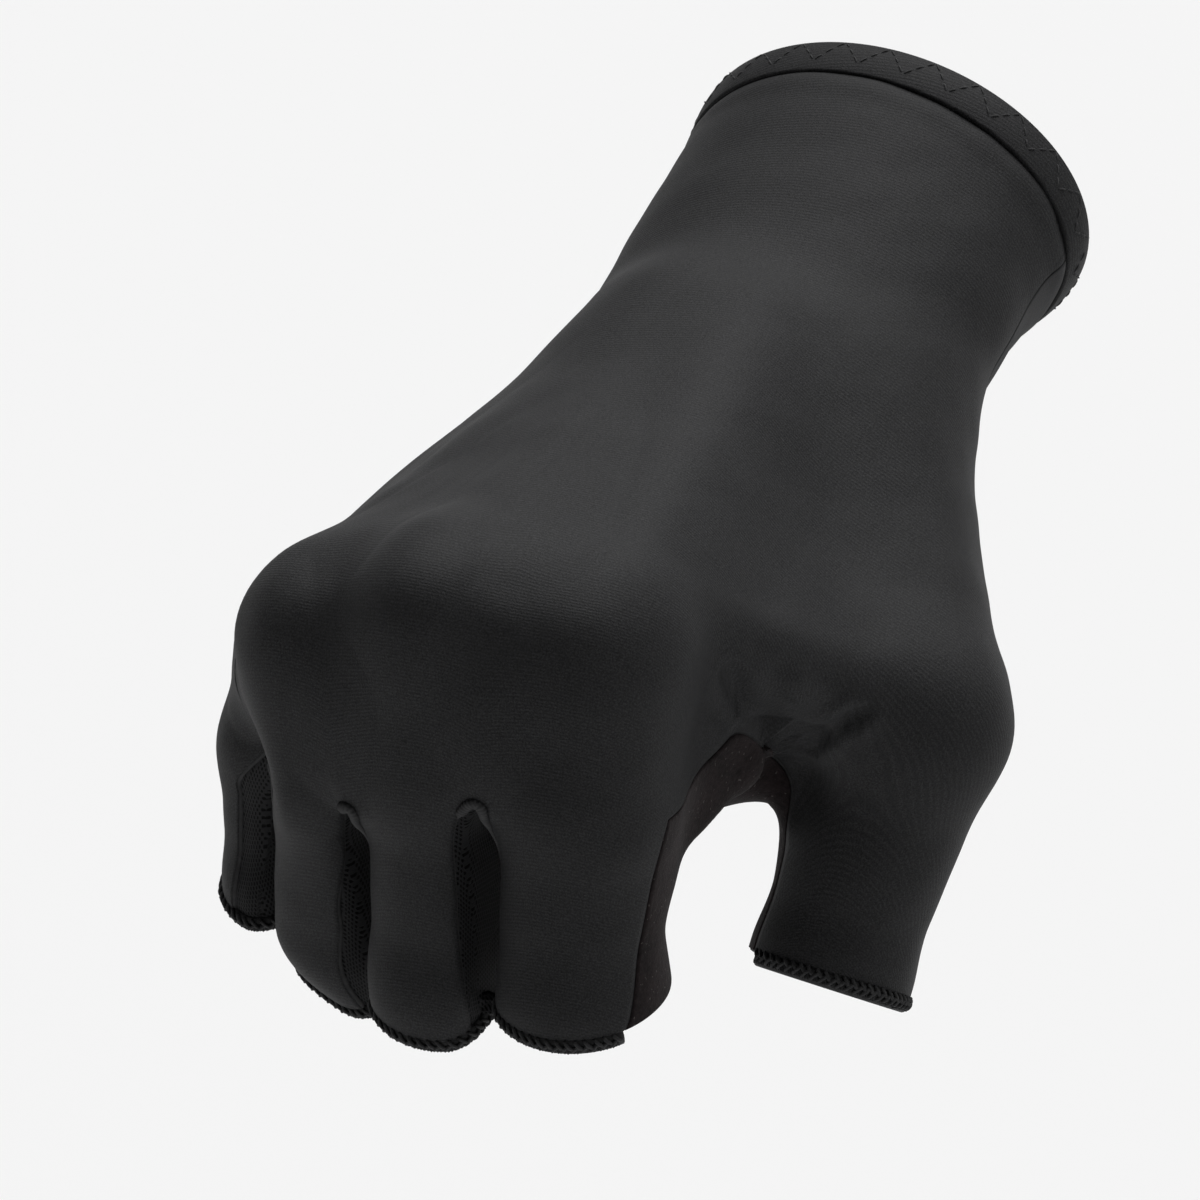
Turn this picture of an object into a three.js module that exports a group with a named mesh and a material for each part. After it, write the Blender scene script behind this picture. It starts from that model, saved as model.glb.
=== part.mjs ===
// Half-finger cycling glove for the right hand, in its worn form. Millimetres.
// The origin is the centre of the wrist opening. +X is the thumb side, -Y the finger side and +Z the back
// of the hand.
import * as THREE from 'three';

// Cloth and edge sizes
const WALL = 1.1;
const SEAM_GAP = 0.3;
const CUFF_WIDTH = 5.6;
const CUFF_WALL = 2.0;
const CUFF_OUT = 0.7;
const HEM_WIDTH = 2.0;
const HEM_WALL = 1.9;
const HEM_OUT = 0.5;
const SIDE_GAP = 1.0;

// Wrist sleeve: place along Y, middle of the section, half width and half height
const SLEEVE = [
  { y: 6, cx: 0.0, cz: 0.2, half_w: 31.2, half_h: 23.0 },
  { y: 0, cx: 0.0, cz: 0.1, half_w: 30.5, half_h: 22.3 },
  { y: -18, cx: 0.7, cz: -1.4, half_w: 29.1, half_h: 20.4 },
  { y: -38, cx: 2.2, cz: -3.8, half_w: 28.5, half_h: 18.9 },
  { y: -56, cx: 3.4, cz: -6.2, half_w: 27.7, half_h: 17.5 },
  { y: -72, cx: 4.4, cz: -8.5, half_w: 27.1, half_h: 16.2 },
];

// Fingers: knuckle and middle joint centres, bend of the joint, radii at knuckle, shaft and joint, end of
// the cloth beyond the joint, and turn of the back of the hand behind the finger in degrees
const FINGERS = [
  { name: 'index', knuckle: [22.9, -133.8, 8.8], joint: [25.6, -144.8, -35.0], bend: 40,
    r_knuckle: 11.0, r_shaft: 11.5, r_joint: 10.4, hem: 0.4, palm_twist: 0 },
  { name: 'middle', knuckle: [3.7, -137.1, 10.5], joint: [7.1, -144.6, -39.6], bend: 40,
    r_knuckle: 11.6, r_shaft: 11.2, r_joint: 10.9, hem: 1.0, palm_twist: 0 },
  { name: 'ring', knuckle: [-13.8, -137.6, 3.0], joint: [-10.2, -138.6, -45.0], bend: 42,
    r_knuckle: 10.7, r_shaft: 11.5, r_joint: 9.0, hem: 1.4, palm_twist: -4 },
  { name: 'little', knuckle: [-23.6, -125.8, -7.7], joint: [-25.8, -133.6, -42.3], bend: 42,
    r_knuckle: 7.6, r_shaft: 10.6, r_joint: 7.3, hem: 1.0, palm_twist: -12 },
];

// Thumb: joint centres from the wrist to the tip side, radii there, and the end of the cloth beyond the joint
const THUMB = { root: [19.6, -52.1, -10.5], knuckle: [45.5, -88.8, -23.6], joint: [42.1, -105.3, -53.5],
  tip: [41.6, -123.2, -73.9], r_root: 14.6, r_knuckle: 12.5, r_joint: 10.3, r_tip: 10.5, hem: 1.2 };

// Hand body: metacarpal cones, cloth bridges between them, ball of the thumb and heel of the hand
const BODY = { root_y: -58, root_z: 2.4, root_spread: 0.25, r_root: 9.4, blend: 6, sleeve_blend: 12,
  r_bridge: 6.7, r_web: 6.5, web_at: 0.25, r_cloth: 3.5, cloth_up: 6.2, cloth_at: 0.34 };
const PADS = [
  { name: 'heel', centre: [-19.6, -88.8, -12.7], half: [12.9, 33.7, 12.3], blend: 10 },
  { name: 'ball', centre: [18.8, -87.3, -22.3], half: [14.1, 30.9, 16.3], blend: 10 },
];
const THUMB_WEB = { at: 0.88, r: 6.4, up: 4.7, blend: 8 };
// Cloth drawn from the index finger's side back into the web, with a small round bulge at its end
const TIE = { knuckle: [28.2, -129, 2], shaft: [28.0, -133.5, -21.0], bulge: [30.6, -111.8, -18.4],
  top: [29.4, -107, -7], r: 4.0, blend: 3.5, r_bulge: 4.6, bulge_blend: 2.5 };

// Small vector helpers
const add = (a, b) => [a[0] + b[0], a[1] + b[1], a[2] + b[2]];
const sub = (a, b) => [a[0] - b[0], a[1] - b[1], a[2] - b[2]];
const scale = (a, s) => [a[0] * s, a[1] * s, a[2] * s];
const dot = (a, b) => a[0] * b[0] + a[1] * b[1] + a[2] * b[2];
const cross = (a, b) => [a[1] * b[2] - a[2] * b[1], a[2] * b[0] - a[0] * b[2], a[0] * b[1] - a[1] * b[0]];
const unit = (a) => scale(a, 1 / Math.hypot(a[0], a[1], a[2]));
const mix = (a, b, t) => [a[0] + (b[0] - a[0]) * t, a[1] + (b[1] - a[1]) * t, a[2] + (b[2] - a[2]) * t];
const off_axis = (a, axis) => unit(sub(a, scale(axis, dot(a, axis))));
const rad = (deg) => deg * Math.PI / 180;
const clamp = (x, lo, hi) => Math.min(Math.max(x, lo), hi);

function ease(x) {
  const t = clamp(x, 0, 1);
  return t * t * (3 - 2 * t);
}

function turned(a, axis, deg) {
  const c = Math.cos(rad(deg));
  const s = Math.sin(rad(deg));
  return add(add(scale(a, c), scale(cross(axis, a), s)), scale(axis, dot(axis, a) * (1 - c)));
}

// Smooth joins of distances
function join(a, b, k) {
  const h = Math.max(k - Math.abs(a - b), 0) / k;
  return Math.min(a, b) - h * h * k * 0.25;
}
const meet = (a, b, k) => -join(-a, -b, k);

// Distance to a cone with round ends
function cone(p, a, b, ra, rb) {
  const ba = sub(b, a);
  const l2 = dot(ba, ba);
  const rr = ra - rb;
  const a2 = l2 - rr * rr;
  const pa = sub(p, a);
  const y = dot(pa, ba);
  const z = y - l2;
  const q = sub(scale(pa, l2), scale(ba, y));
  const x2 = dot(q, q);
  const k = Math.sign(rr) * rr * rr * x2;
  if (Math.sign(z) * a2 * z * z * l2 > k) return Math.sqrt(x2 + z * z * l2) / l2 - rb;
  if (Math.sign(y) * a2 * y * y * l2 < k) return Math.sqrt(x2 + y * y * l2) / l2 - ra;
  return (Math.sqrt(x2 * a2 / l2) + y * rr) / l2 - ra;
}

// Distance to a triangle thickened by r
function plate(p, a, b, c, r) {
  const ba = sub(b, a);
  const cb = sub(c, b);
  const ac = sub(a, c);
  const pa = sub(p, a);
  const pb = sub(p, b);
  const pc = sub(p, c);
  const n = cross(ba, ac);
  const inside = (d, q) => Math.sign(dot(cross(d, n), q));
  const side = inside(ba, pa) + inside(cb, pb) + inside(ac, pc);
  const edge = (q, d) => {
    const w = sub(q, scale(d, clamp(dot(q, d) / dot(d, d), 0, 1)));
    return dot(w, w);
  };
  if (side < 2) return Math.sqrt(Math.min(edge(pa, ba), edge(pb, cb), edge(pc, ac))) - r;
  return Math.abs(dot(n, pa)) / Math.sqrt(dot(n, n)) - r;
}

function pad(p, centre, half) {
  const q = sub(p, centre);
  const k0 = Math.hypot(q[0] / half[0], q[1] / half[1], q[2] / half[2]);
  const k1 = Math.hypot(q[0] / half[0] ** 2, q[1] / half[1] ** 2, q[2] / half[2] ** 2);
  return (k1 > 1e-9 ? k0 / k1 : Math.min(...half)) * (k0 - 1);
}

function sleeve_at(y) {
  const yy = clamp(y, SLEEVE[SLEEVE.length - 1].y, SLEEVE[0].y);
  let i = 0;
  while (i < SLEEVE.length - 2 && SLEEVE[i + 1].y > yy) i += 1;
  const a = SLEEVE[i];
  const b = SLEEVE[i + 1];
  const t = (a.y - yy) / (a.y - b.y);
  const row = {};
  for (const key of ['cx', 'cz', 'half_w', 'half_h']) row[key] = a[key] + (b[key] - a[key]) * t;
  return row;
}

function sleeve(p) {
  const s = sleeve_at(p[1]);
  const qx = (p[0] - s.cx) / s.half_w;
  const qz = (p[2] - s.cz) / s.half_h;
  const k0 = Math.hypot(qx, qz);
  const k1 = Math.hypot(qx / s.half_w, qz / s.half_h);
  return meet((k1 > 1e-9 ? k0 / k1 : s.half_h) * (k0 - 1), SLEEVE[SLEEVE.length - 1].y - p[1], 10);
}

// Directions of each finger: along its first bone, across towards the thumb, and to its back
for (const f of FINGERS) {
  f.along = unit(sub(f.joint, f.knuckle));
  f.across = off_axis([1, 0, 0], f.along);
  f.back = cross(f.across, f.along);
  if (f.back[1] > 0) f.back = scale(f.back, -1);
  f.root = [f.knuckle[0] * BODY.root_spread, BODY.root_y, BODY.root_z];
  const t = rad(f.bend);
  f.next = sub(scale(f.along, Math.cos(t)), scale(f.back, Math.sin(t)));
  const h = rad(f.bend * 0.4);
  f.hem_along = sub(scale(f.along, Math.cos(h)), scale(f.back, Math.sin(h)));
  f.hem_at = add(f.joint, scale(f.next, f.hem));
}
const point_on = (f, t) => mix(f.knuckle, f.joint, t);

// Where two neighbouring fingers press together, both are flat along a plane. It lies nearer to the second
// finger by the given shifts at the knuckles and at the joints, and on the back of the hand it turns to that
// finger's side. slit is how far the top of the slit on the back of the hand lies off the plane, nearer to
// the first finger
const SIDE_PLANES = [
  { pair: 'index and middle', high: 1.4, low: 1.4, turn: 3, slit: 1.6 },
  { pair: 'middle and ring', high: 1.4, low: 1.4, turn: 10, slit: 2.0 },
  { pair: 'ring and little', high: 1.0, low: 1.0, turn: 28, slit: 1.4 },
];
const SIDES = SIDE_PLANES.map((plane, i) => {
  const a = FINGERS[i];
  const b = FINGERS[i + 1];
  const way = unit(sub(b.knuckle, a.knuckle));
  const low = add(mix(a.joint, b.joint, 0.5), scale(way, plane.low));
  const high = add(mix(a.knuckle, b.knuckle, 0.5), scale(way, plane.high));
  const along = unit(sub(low, high));
  const out = turned(off_axis([0, -1, 0], along), along, plane.turn);
  let n = unit(cross(along, out));
  if (dot(n, way) > 0) n = scale(n, -1);
  return { a, b, low, n, out, slit: plane.slit };
});
const side_of = (one, two) => SIDES.find((s) => [s.a.name, s.b.name].every((n) => [one, two].includes(n)));
const on_side = (p, s) => sub(p, scale(s.n, dot(sub(p, s.low), s.n)));

function finger_form(p, f) {
  const mid = point_on(f, 0.45);
  let g = cone(p, f.knuckle, mid, f.r_knuckle, f.r_shaft);
  g = join(g, cone(p, mid, f.joint, f.r_shaft, f.r_joint), 2);
  g = join(g, cone(p, f.joint, add(f.joint, scale(f.next, 20)), f.r_joint, f.r_joint - 1), 4);
  for (const s of SIDES) {
    if (s.a === f) g = meet(g, SIDE_GAP - dot(sub(p, s.low), s.n), 3);
    if (s.b === f) g = meet(g, SIDE_GAP + dot(sub(p, s.low), s.n), 3);
  }
  return g;
}

// Bridges of taut cloth and of the webs, between neighbouring fingers
const BRIDGES = [0, 1, 2].map((i) => {
  const a = FINGERS[i];
  const b = FINGERS[i + 1];
  const up = (f) => scale(add(f.back, [0, 0, 1]), BODY.cloth_up * 0.7);
  const out = (f) => add(point_on(f, BODY.cloth_at), scale(f.back, BODY.cloth_up));
  return [
    { r: BODY.r_bridge, c: [a.root, a.knuckle, b.knuckle, b.root] },
    { r: BODY.r_web, c: [a.knuckle, point_on(a, BODY.web_at), point_on(b, BODY.web_at), b.knuckle] },
    { r: BODY.r_cloth, c: [add(a.knuckle, up(a)), out(a), out(b), add(b.knuckle, up(b))] },
  ];
});
const INDEX = FINGERS[0];
const LITTLE = FINGERS[3];
const web_up = scale(unit([0.25, -0.25, 0.93]), THUMB_WEB.up);
const WEB_CORNERS = [INDEX.root, mix(INDEX.root, INDEX.knuckle, THUMB_WEB.at), THUMB.knuckle, THUMB.root]
  .map((c) => add(c, web_up));

function body_form(p) {
  let g = 1e3;
  for (const f of FINGERS) {
    g = join(g, cone(p, f.root, add(f.knuckle, [0, 3, 0]), BODY.r_root, f.r_knuckle - 0.3), BODY.blend);
  }
  for (const rows of BRIDGES) {
    let q = 1e3;
    for (const { r, c } of rows) {
      q = Math.min(q, plate(p, c[0], c[1], c[2], r), plate(p, c[0], c[2], c[3], r));
    }
    g = join(g, q, BODY.blend);
  }
  g = join(g, sleeve(p), BODY.sleeve_blend);
  for (const row of PADS) g = join(g, pad(p, row.centre, row.half), row.blend);
  const c = WEB_CORNERS;
  const web = Math.min(plate(p, c[0], c[1], c[2], THUMB_WEB.r), plate(p, c[0], c[2], c[3], THUMB_WEB.r));
  g = join(g, web, THUMB_WEB.blend);
  const e = TIE;
  const tie = Math.min(plate(p, e.knuckle, e.shaft, e.bulge, e.r), plate(p, e.knuckle, e.bulge, e.top, e.r));
  g = join(g, tie, e.blend);
  return join(g, Math.hypot(...sub(p, e.bulge)) - e.r_bulge, e.bulge_blend);
}

function thumb_form(p) {
  const t = THUMB;
  let g = cone(p, t.root, t.knuckle, t.r_root, t.r_knuckle);
  g = join(g, cone(p, t.knuckle, t.joint, t.r_knuckle, t.r_joint), 5);
  return join(g, cone(p, t.joint, t.tip, t.r_joint, t.r_tip), 4);
}

// Signed distance to the outer face of the glove
function form(p) {
  let fingers = 1e3;
  for (const f of FINGERS) fingers = Math.min(fingers, finger_form(p, f));
  return join(join(body_form(p), thumb_form(p), 12), fingers, 7);
}

// Walks from an inner point outwards to the given depth under the outer face
function reach(from, dir, level, field = form) {
  let t = 0;
  let step = 1;
  for (let i = 0; i < 90 && Math.abs(step) > 1e-4; i += 1) {
    step = (level - field(add(from, scale(dir, t)))) * 0.9;
    t += step;
  }
  return add(from, scale(dir, t));
}

// A chain is the middle line of a digit with its sections: place, back and across directions
// Parts of a chain: sleeve, palm, bend over the knuckle, shaft, tip up to the hem
const BEND = 13;
const TIP = 9;
function section(place, along, back_hint) {
  const back = off_axis(back_hint, along);
  let across = cross(back, along);
  if (across[0] < 0) across = scale(across, -1);
  return { place, along, back, across };
}

function sleeve_section(y, side) {
  const s = sleeve_at(y);
  return section([s.cx + side * 12, y, s.cz], [0, -1, 0], [0, 0, 1]);
}

function curve(a, b, c, t) {
  return mix(mix(a, b, t), mix(b, c, t), t);
}

function finger_section(f, part, t) {
  const palm_along = unit(sub(f.knuckle, f.root));
  const up = turned([0, 0, 1], palm_along, f.palm_twist);
  const start = sub(f.knuckle, scale(palm_along, BEND));
  const after = add(f.knuckle, scale(f.along, BEND));
  const before_tip = sub(f.joint, scale(f.along, TIP));
  if (part === 'palm') return section(mix(f.root, start, t), palm_along, up);
  if (part === 'bend') {
    const along = unit(mix(sub(f.knuckle, start), sub(after, f.knuckle), t));
    return section(curve(start, f.knuckle, after, t), along, mix(up, f.back, t));
  }
  if (part === 'shaft') return section(mix(after, before_tip, t), f.along, f.back);
  const along = unit(mix(f.along, f.hem_along, t));
  return section(curve(before_tip, f.joint, f.hem_at, t), along, f.back);
}

const THUMB_BACK = { palm: [0.45, -0.25, 0.86], shaft: [0.3, -0.85, 0.42] };
function thumb_section(part, t) {
  const m = THUMB;
  const palm_along = unit(sub(m.knuckle, m.root));
  const along = unit(sub(m.joint, m.knuckle));
  const tip_along = unit(sub(m.tip, m.joint));
  const start = sub(m.knuckle, scale(palm_along, 11));
  const after = add(m.knuckle, scale(along, 11));
  const end = add(m.joint, scale(tip_along, m.hem));
  if (part === 'palm') return section(mix(m.root, start, t), palm_along, THUMB_BACK.palm);
  if (part === 'bend') {
    const dir = unit(mix(sub(m.knuckle, start), sub(after, m.knuckle), t));
    return section(curve(start, m.knuckle, after, t), dir, mix(THUMB_BACK.palm, THUMB_BACK.shaft, t));
  }
  const dir = unit(mix(along, tip_along, ease(t * 1.2 - 0.1)));
  return section(curve(after, m.joint, end, t), dir, THUMB_BACK.shaft);
}

const ray_at = (s, deg) => ({
  from: s.place,
  dir: add(scale(s.back, Math.cos(rad(deg))), scale(s.across, Math.sin(rad(deg)))),
});
const ray_mix = (a, b, t) => ({ from: mix(a.from, b.from, t), dir: unit(mix(a.dir, b.dir, t)) });
const touch = (ray) => reach(ray.from, ray.dir, 0);

// Outward direction at a point, and the nearest point of the outer face
function outward(p) {
  const e = 0.05;
  const corners = [[1, -1, -1], [-1, 1, -1], [-1, -1, 1], [1, 1, 1]];
  return unit(corners.reduce((g, c) => add(g, scale(c, form(add(p, scale(c, e))))), [0, 0, 0]));
}
function onto(p, steps = 3) {
  let q = p;
  for (let i = 0; i < steps; i += 1) q = sub(q, scale(outward(q), form(q) * 0.95));
  return q;
}

// Rows of sections from the wrist to the hems. The digits part at the last lead row, the fingers at the last
// hand row
const SPLIT_AT = 0.82;
const SLIT_AT = 0.2;
const PALM_SLIT_AT = 0.38;
const LEAD_ROWS = [
  { part: 'sleeve', y: -6, hand: 0 },
  { part: 'sleeve', y: -14, hand: 0 },
  { part: 'sleeve', y: -24, hand: 0.08 },
  { part: 'sleeve', y: -35, hand: 0.2 },
  { part: 'sleeve', y: -46, hand: 0.4 },
  { part: 'palm', t: 0.0, hand: 0.6 },
  { part: 'palm', t: 0.2, hand: 0.8 },
  { part: 'palm', t: 0.4, hand: 1 },
  { part: 'palm', t: 0.58, hand: 1 },
  { part: 'palm', t: 0.72, hand: 1 },
  { part: 'palm', t: SPLIT_AT, hand: 1 },
];
const HAND_ROWS = [
  { part: 'palm', t: 1, strip: 0.1 },
  { part: 'bend', t: 0.22, strip: 0.2 },
  { part: 'bend', t: 0.42, strip: 0.3 },
  { part: 'bend', t: 0.61, strip: 0.4 },
  { part: 'bend', t: 0.8, strip: 0.55 },
  { part: 'bend', t: 1, strip: 0.75 },
  { part: 'shaft', t: SLIT_AT, strip: 1 },
];
const rows_of = (part, shares) => shares.map((t) => ({ part, t }));
const STRIP_ROWS = [...rows_of('shaft', [0.4, 0.55, 0.7, 0.85, 1]), ...rows_of('tip', [0.25, 0.5, 0.75, 1])];
const THUMB_ROWS = [...rows_of('bend', [0.25, 0.5, 0.75, 1]), ...rows_of('tip', [0.2, 0.4, 0.6, 0.8, 1])];

// Columns of the back panel from the little finger's side to the thumb's. side is the place across the
// sleeve's middle line and sleeve the degrees around it. lane is the place across the metacarpals, 0 little
// to 3 index and 4 thumb, and palm the degrees there. strip is the degrees around the digit at the strips,
// top and hem those at their upper and lower ends where they differ
const BACK_COLUMNS = [
  { digit: 'little', side: -1.0, sleeve: -90, lane: 0, palm: -104, strip: -108 },
  { digit: 'little', side: -0.92, sleeve: -77, lane: 0, palm: -78, strip: -91 },
  { digit: 'little', side: -0.84, sleeve: -67, lane: 0, palm: -54, strip: -74 },
  { digit: 'little', side: -0.76, sleeve: -58, lane: 0, palm: -34, strip: -56 },
  { digit: 'little', side: -0.68, sleeve: -51, lane: 0.08, palm: -20, strip: -38 },
  { digit: 'little', side: -0.62, sleeve: -46, lane: 0.28, palm: -14, strip: -20 },
  { digit: 'gap', side: -0.55, sleeve: -41, lane: 0.48, palm: -10 },
  { digit: 'ring', side: -0.48, sleeve: -36, lane: 0.7, palm: -9, strip: -80, top: -50 },
  { digit: 'ring', side: -0.41, sleeve: -31, lane: 0.9, palm: -7, strip: -44, top: -28 },
  { digit: 'ring', side: -0.34, sleeve: -26, lane: 1.1, palm: -5, strip: -8 },
  { digit: 'ring', side: -0.27, sleeve: -21, lane: 1.3, palm: -4, strip: 28 },
  { digit: 'gap', side: -0.2, sleeve: -16, lane: 1.5, palm: -3 },
  { digit: 'middle', side: -0.13, sleeve: -11, lane: 1.7, palm: -2, strip: -74, top: -46 },
  { digit: 'middle', side: -0.06, sleeve: -6, lane: 1.9, palm: -1, strip: -40, top: -24 },
  { digit: 'middle', side: 0.01, sleeve: -1, lane: 2.1, palm: 0, strip: -5 },
  { digit: 'middle', side: 0.08, sleeve: 4, lane: 2.3, palm: 1, strip: 30 },
  { digit: 'gap', side: 0.15, sleeve: 9, lane: 2.5, palm: 3 },
  { digit: 'index', side: 0.22, sleeve: 14, lane: 2.7, palm: 4, strip: -72, top: -46 },
  { digit: 'index', side: 0.29, sleeve: 19, lane: 2.85, palm: 6, strip: -40, hem: -45, top: -27 },
  { digit: 'index', side: 0.36, sleeve: 24, lane: 3.0, palm: 12, strip: -8, hem: -19 },
  { digit: 'index', side: 0.43, sleeve: 30, lane: 3.1, palm: 26, strip: 25, hem: 7 },
  { digit: 'index', side: 0.5, sleeve: 36, lane: 3.2, palm: 44, strip: 57, hem: 32 },
  { digit: 'index', side: 0.58, sleeve: 43, lane: 3.35, palm: 46, strip: 86, hem: 57, seam: true },
  { digit: 'gap', side: 0.66, sleeve: 51, lane: 3.5, palm: 40, seam: true },
  { digit: 'thumb', side: 0.74, sleeve: 59, lane: 3.65, palm: 30, strip: -62, seam: true },
  { digit: 'thumb', side: 0.81, sleeve: 67, lane: 3.82, palm: 20, strip: -32 },
  { digit: 'thumb', side: 0.88, sleeve: 75, lane: 4, palm: 14, strip: 0 },
  { digit: 'thumb', side: 0.94, sleeve: 81, lane: 4, palm: 42, strip: 35 },
  { digit: 'thumb', side: 0.98, sleeve: 86, lane: 4, palm: 72, strip: 70 },
  { digit: 'thumb', side: 1.0, sleeve: 90, lane: 4, palm: 104, strip: 104 },
];
// Columns of the palm panel, the same way round the other side of the hand. late moves a column's strip
// rows down
const PALM_COLUMNS = [
  { digit: 'little', side: -1.0, sleeve: -90, lane: 0, palm: -104, strip: -108 },
  { digit: 'little', side: -0.86, sleeve: -112, lane: 0, palm: -134, strip: -155 },
  { digit: 'little', side: -0.72, sleeve: -130, lane: 0.05, palm: -162, strip: -203 },
  { digit: 'little', side: -0.6, sleeve: -142, lane: 0.28, palm: -172, strip: -250 },
  { digit: 'gap', side: -0.52, sleeve: -148, lane: 0.5, palm: -174 },
  { digit: 'ring', side: -0.44, sleeve: -154, lane: 0.7, palm: -176, strip: -160 },
  { digit: 'ring', side: -0.35, sleeve: -159, lane: 0.9, palm: -178, strip: -182 },
  { digit: 'ring', side: -0.26, sleeve: -164, lane: 1.1, palm: -180, strip: -204 },
  { digit: 'ring', side: -0.17, sleeve: -169, lane: 1.3, palm: -180, strip: -226 },
  { digit: 'gap', side: -0.08, sleeve: -174, lane: 1.5, palm: -180 },
  { digit: 'middle', side: 0.0, sleeve: -179, lane: 1.7, palm: -180, strip: -142 },
  { digit: 'middle', side: 0.06, sleeve: -184, lane: 1.9, palm: -180, strip: -171 },
  { digit: 'middle', side: 0.12, sleeve: -189, lane: 2.1, palm: -181, strip: -200 },
  { digit: 'middle', side: 0.18, sleeve: -194, lane: 2.3, palm: -182, strip: -230 },
  { digit: 'gap', side: 0.25, sleeve: -199, lane: 2.5, palm: -183 },
  { digit: 'index', side: 0.32, sleeve: -204, lane: 2.68, palm: -184, strip: -134 },
  { digit: 'index', side: 0.39, sleeve: -209, lane: 2.84, palm: -185, strip: -164, late: 0.3 },
  { digit: 'index', side: 0.46, sleeve: -214, lane: 2.95, palm: -187, strip: -194, late: 0.5 },
  { digit: 'index', side: 0.53, sleeve: -219, lane: 3.1, palm: -190, strip: -224, late: 0.8, web: 0 },
  { digit: 'gap', side: 0.6, sleeve: -224, lane: 3.3, palm: -192, web: 0 },
  { digit: 'thumb', side: 0.68, sleeve: -230, lane: 3.5, palm: -193, strip: -128, web: 0 },
  { digit: 'thumb', side: 0.78, sleeve: -238, lane: 3.75, palm: -196, strip: -160 },
  { digit: 'thumb', side: 0.88, sleeve: -247, lane: 4, palm: -202, strip: -192 },
  { digit: 'thumb', side: 0.96, sleeve: -258, lane: 4, palm: -230, strip: -224 },
  { digit: 'thumb', side: 1.0, sleeve: -270, lane: 4, palm: -256, strip: -256 },
];
// Further columns of the palm panel on both sides of the web, between the palm's own columns and the seam
const WEB_COLUMNS = {
  index: [
    { digit: 'index', strip: 119, hem: 110, late: 0.6, web: 1 },
    { digit: 'index', strip: 102, hem: 83, late: 0.3, web: 2 },
    { digit: 'index', strip: 86, hem: 57, seam: true },
  ],
  thumb: [
    { digit: 'thumb', strip: -62, seam: true },
    { digit: 'thumb', strip: -84, web: 2 },
    { digit: 'thumb', strip: -106, web: 1 },
  ],
};
const THUMB_LEAD = { from: 0.12, to: 1.0 };
const LANES = ['little', 'ring', 'middle', 'index', 'thumb'];

// Seam around the web of the thumb: along the index finger's side, the notch, then down the thumb's side
const WEB_SEAM = {
  index: [[29, -117.5, -10.7], [29, -126, -13], [29, -138.6, -9.4]],
  notch: [33.8, -114.8, -11.1],
  thumb: [[35, -111.6, -15.8], [34.8, -108.5, -20.5], [33.6, -105, -24.5], [34.3, -103.2, -29],
    [34.8, -103.7, -33]],
};
// Rows of the suede across the web, from its palm side to its back: index side from and to, middle, thumb
// side from and to
const WEB_LINES = [
  { index: [[25.5, -112, -20], [24, -128, -20]], middle: [26, -102, -29],
    thumb: [[29, -97, -33], [33, -96, -38]] },
  { index: [[30.4, -113, -27], [28.5, -132, -29]], middle: [31, -107, -25],
    thumb: [[32, -102, -29], [34, -99, -37]] },
  { index: [[35, -114, -17], [34, -134, -17]], middle: [34.5, -112, -17],
    thumb: [[34, -108, -22], [34, -101, -35]] },
];

const by_name = (name) => FINGERS.find((f) => f.name === name);
function digit_section(name, row) {
  if (name !== 'thumb') return finger_section(by_name(name), row.part, row.t);
  if (row.part !== 'palm') return thumb_section(row.part, row.t);
  const share = Math.min(row.t / SPLIT_AT, 1);
  return thumb_section('palm', THUMB_LEAD.from + (THUMB_LEAD.to - THUMB_LEAD.from) * share);
}

function lane_ray(lane, deg, row) {
  const i = Math.min(Math.floor(lane), LANES.length - 2);
  const a = digit_section(LANES[i], row);
  const b = digit_section(LANES[i + 1], row);
  const t = lane - i;
  const back = unit(mix(a.back, b.back, t));
  const across = off_axis(mix(a.across, b.across, t), back);
  return ray_at({ place: mix(a.place, b.place, t), back, across }, deg);
}

// Point of a column at a row before the digits part
function lead_point(col, row) {
  const at = row.part === 'sleeve' ? { part: 'palm', t: 0 } : row;
  const hand = lane_ray(col.lane, col.palm, at);
  const y = row.part === 'sleeve' ? row.y : hand.from[1];
  hand.from = [hand.from[0], y, hand.from[2]];
  return touch(ray_mix(ray_at(sleeve_section(y, col.side), col.sleeve), hand, row.hand));
}

// Share of the way along a digit's strip rows, and the strip's degrees there
function strip_share(name, row) {
  const rows = name === 'thumb' ? THUMB_ROWS : STRIP_ROWS;
  const i = rows.findIndex((r) => r.part === row.part && r.t === row.t);
  return (i + 1) / rows.length;
}
function strip_ray(col, row) {
  const t = row.part === 'shaft' && col.late ? row.t + col.late * (1 - row.t) * 0.5 : row.t;
  const share = Math.max(strip_share(col.digit, row), 0);
  const hem = col.hem === undefined ? col.strip : col.hem;
  const top = col.top === undefined ? col.strip : col.top;
  const deg = col.strip + (hem - col.strip) * share + (top - col.strip) * (1 - ease(share * 2));
  return ray_at(digit_section(col.digit, { part: row.part, t }), deg);
}

// Point of a column at a hand row or a strip row, found on the digit alone and then drawn onto the glove
function own_touch(name, ray) {
  const field = (p) => (name === 'thumb' ? thumb_form(p) : finger_form(p, by_name(name)));
  return onto(reach(ray.from, ray.dir, 0, field));
}
function digit_point(col, row) {
  const w = row.strip === undefined ? 1 : row.strip;
  const strip = strip_ray(col, row);
  if (w === 1 || col.lane === undefined) return own_touch(col.digit, strip);
  return touch(ray_mix(lane_ray(col.lane, col.palm, row), strip, w));
}

// Top of the slit between two neighbouring fingers on the back of the hand: its middle and its two sides
const SLIT_HALF = 1.5;
const between = (a, b, row) => mix(digit_section(a, row).place, digit_section(b, row).place, 0.5);
function slit_points(a, b, row) {
  const side = side_of(a.digit, b.digit);
  const from = on_side(between(a.digit, b.digit, row), side);
  const at = (k) => add(from, scale(side.n, k * SLIT_HALF + side.slit));
  return [-1, 0, 1].map((k) => touch({ from: at(k), dir: side.out }));
}

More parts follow.
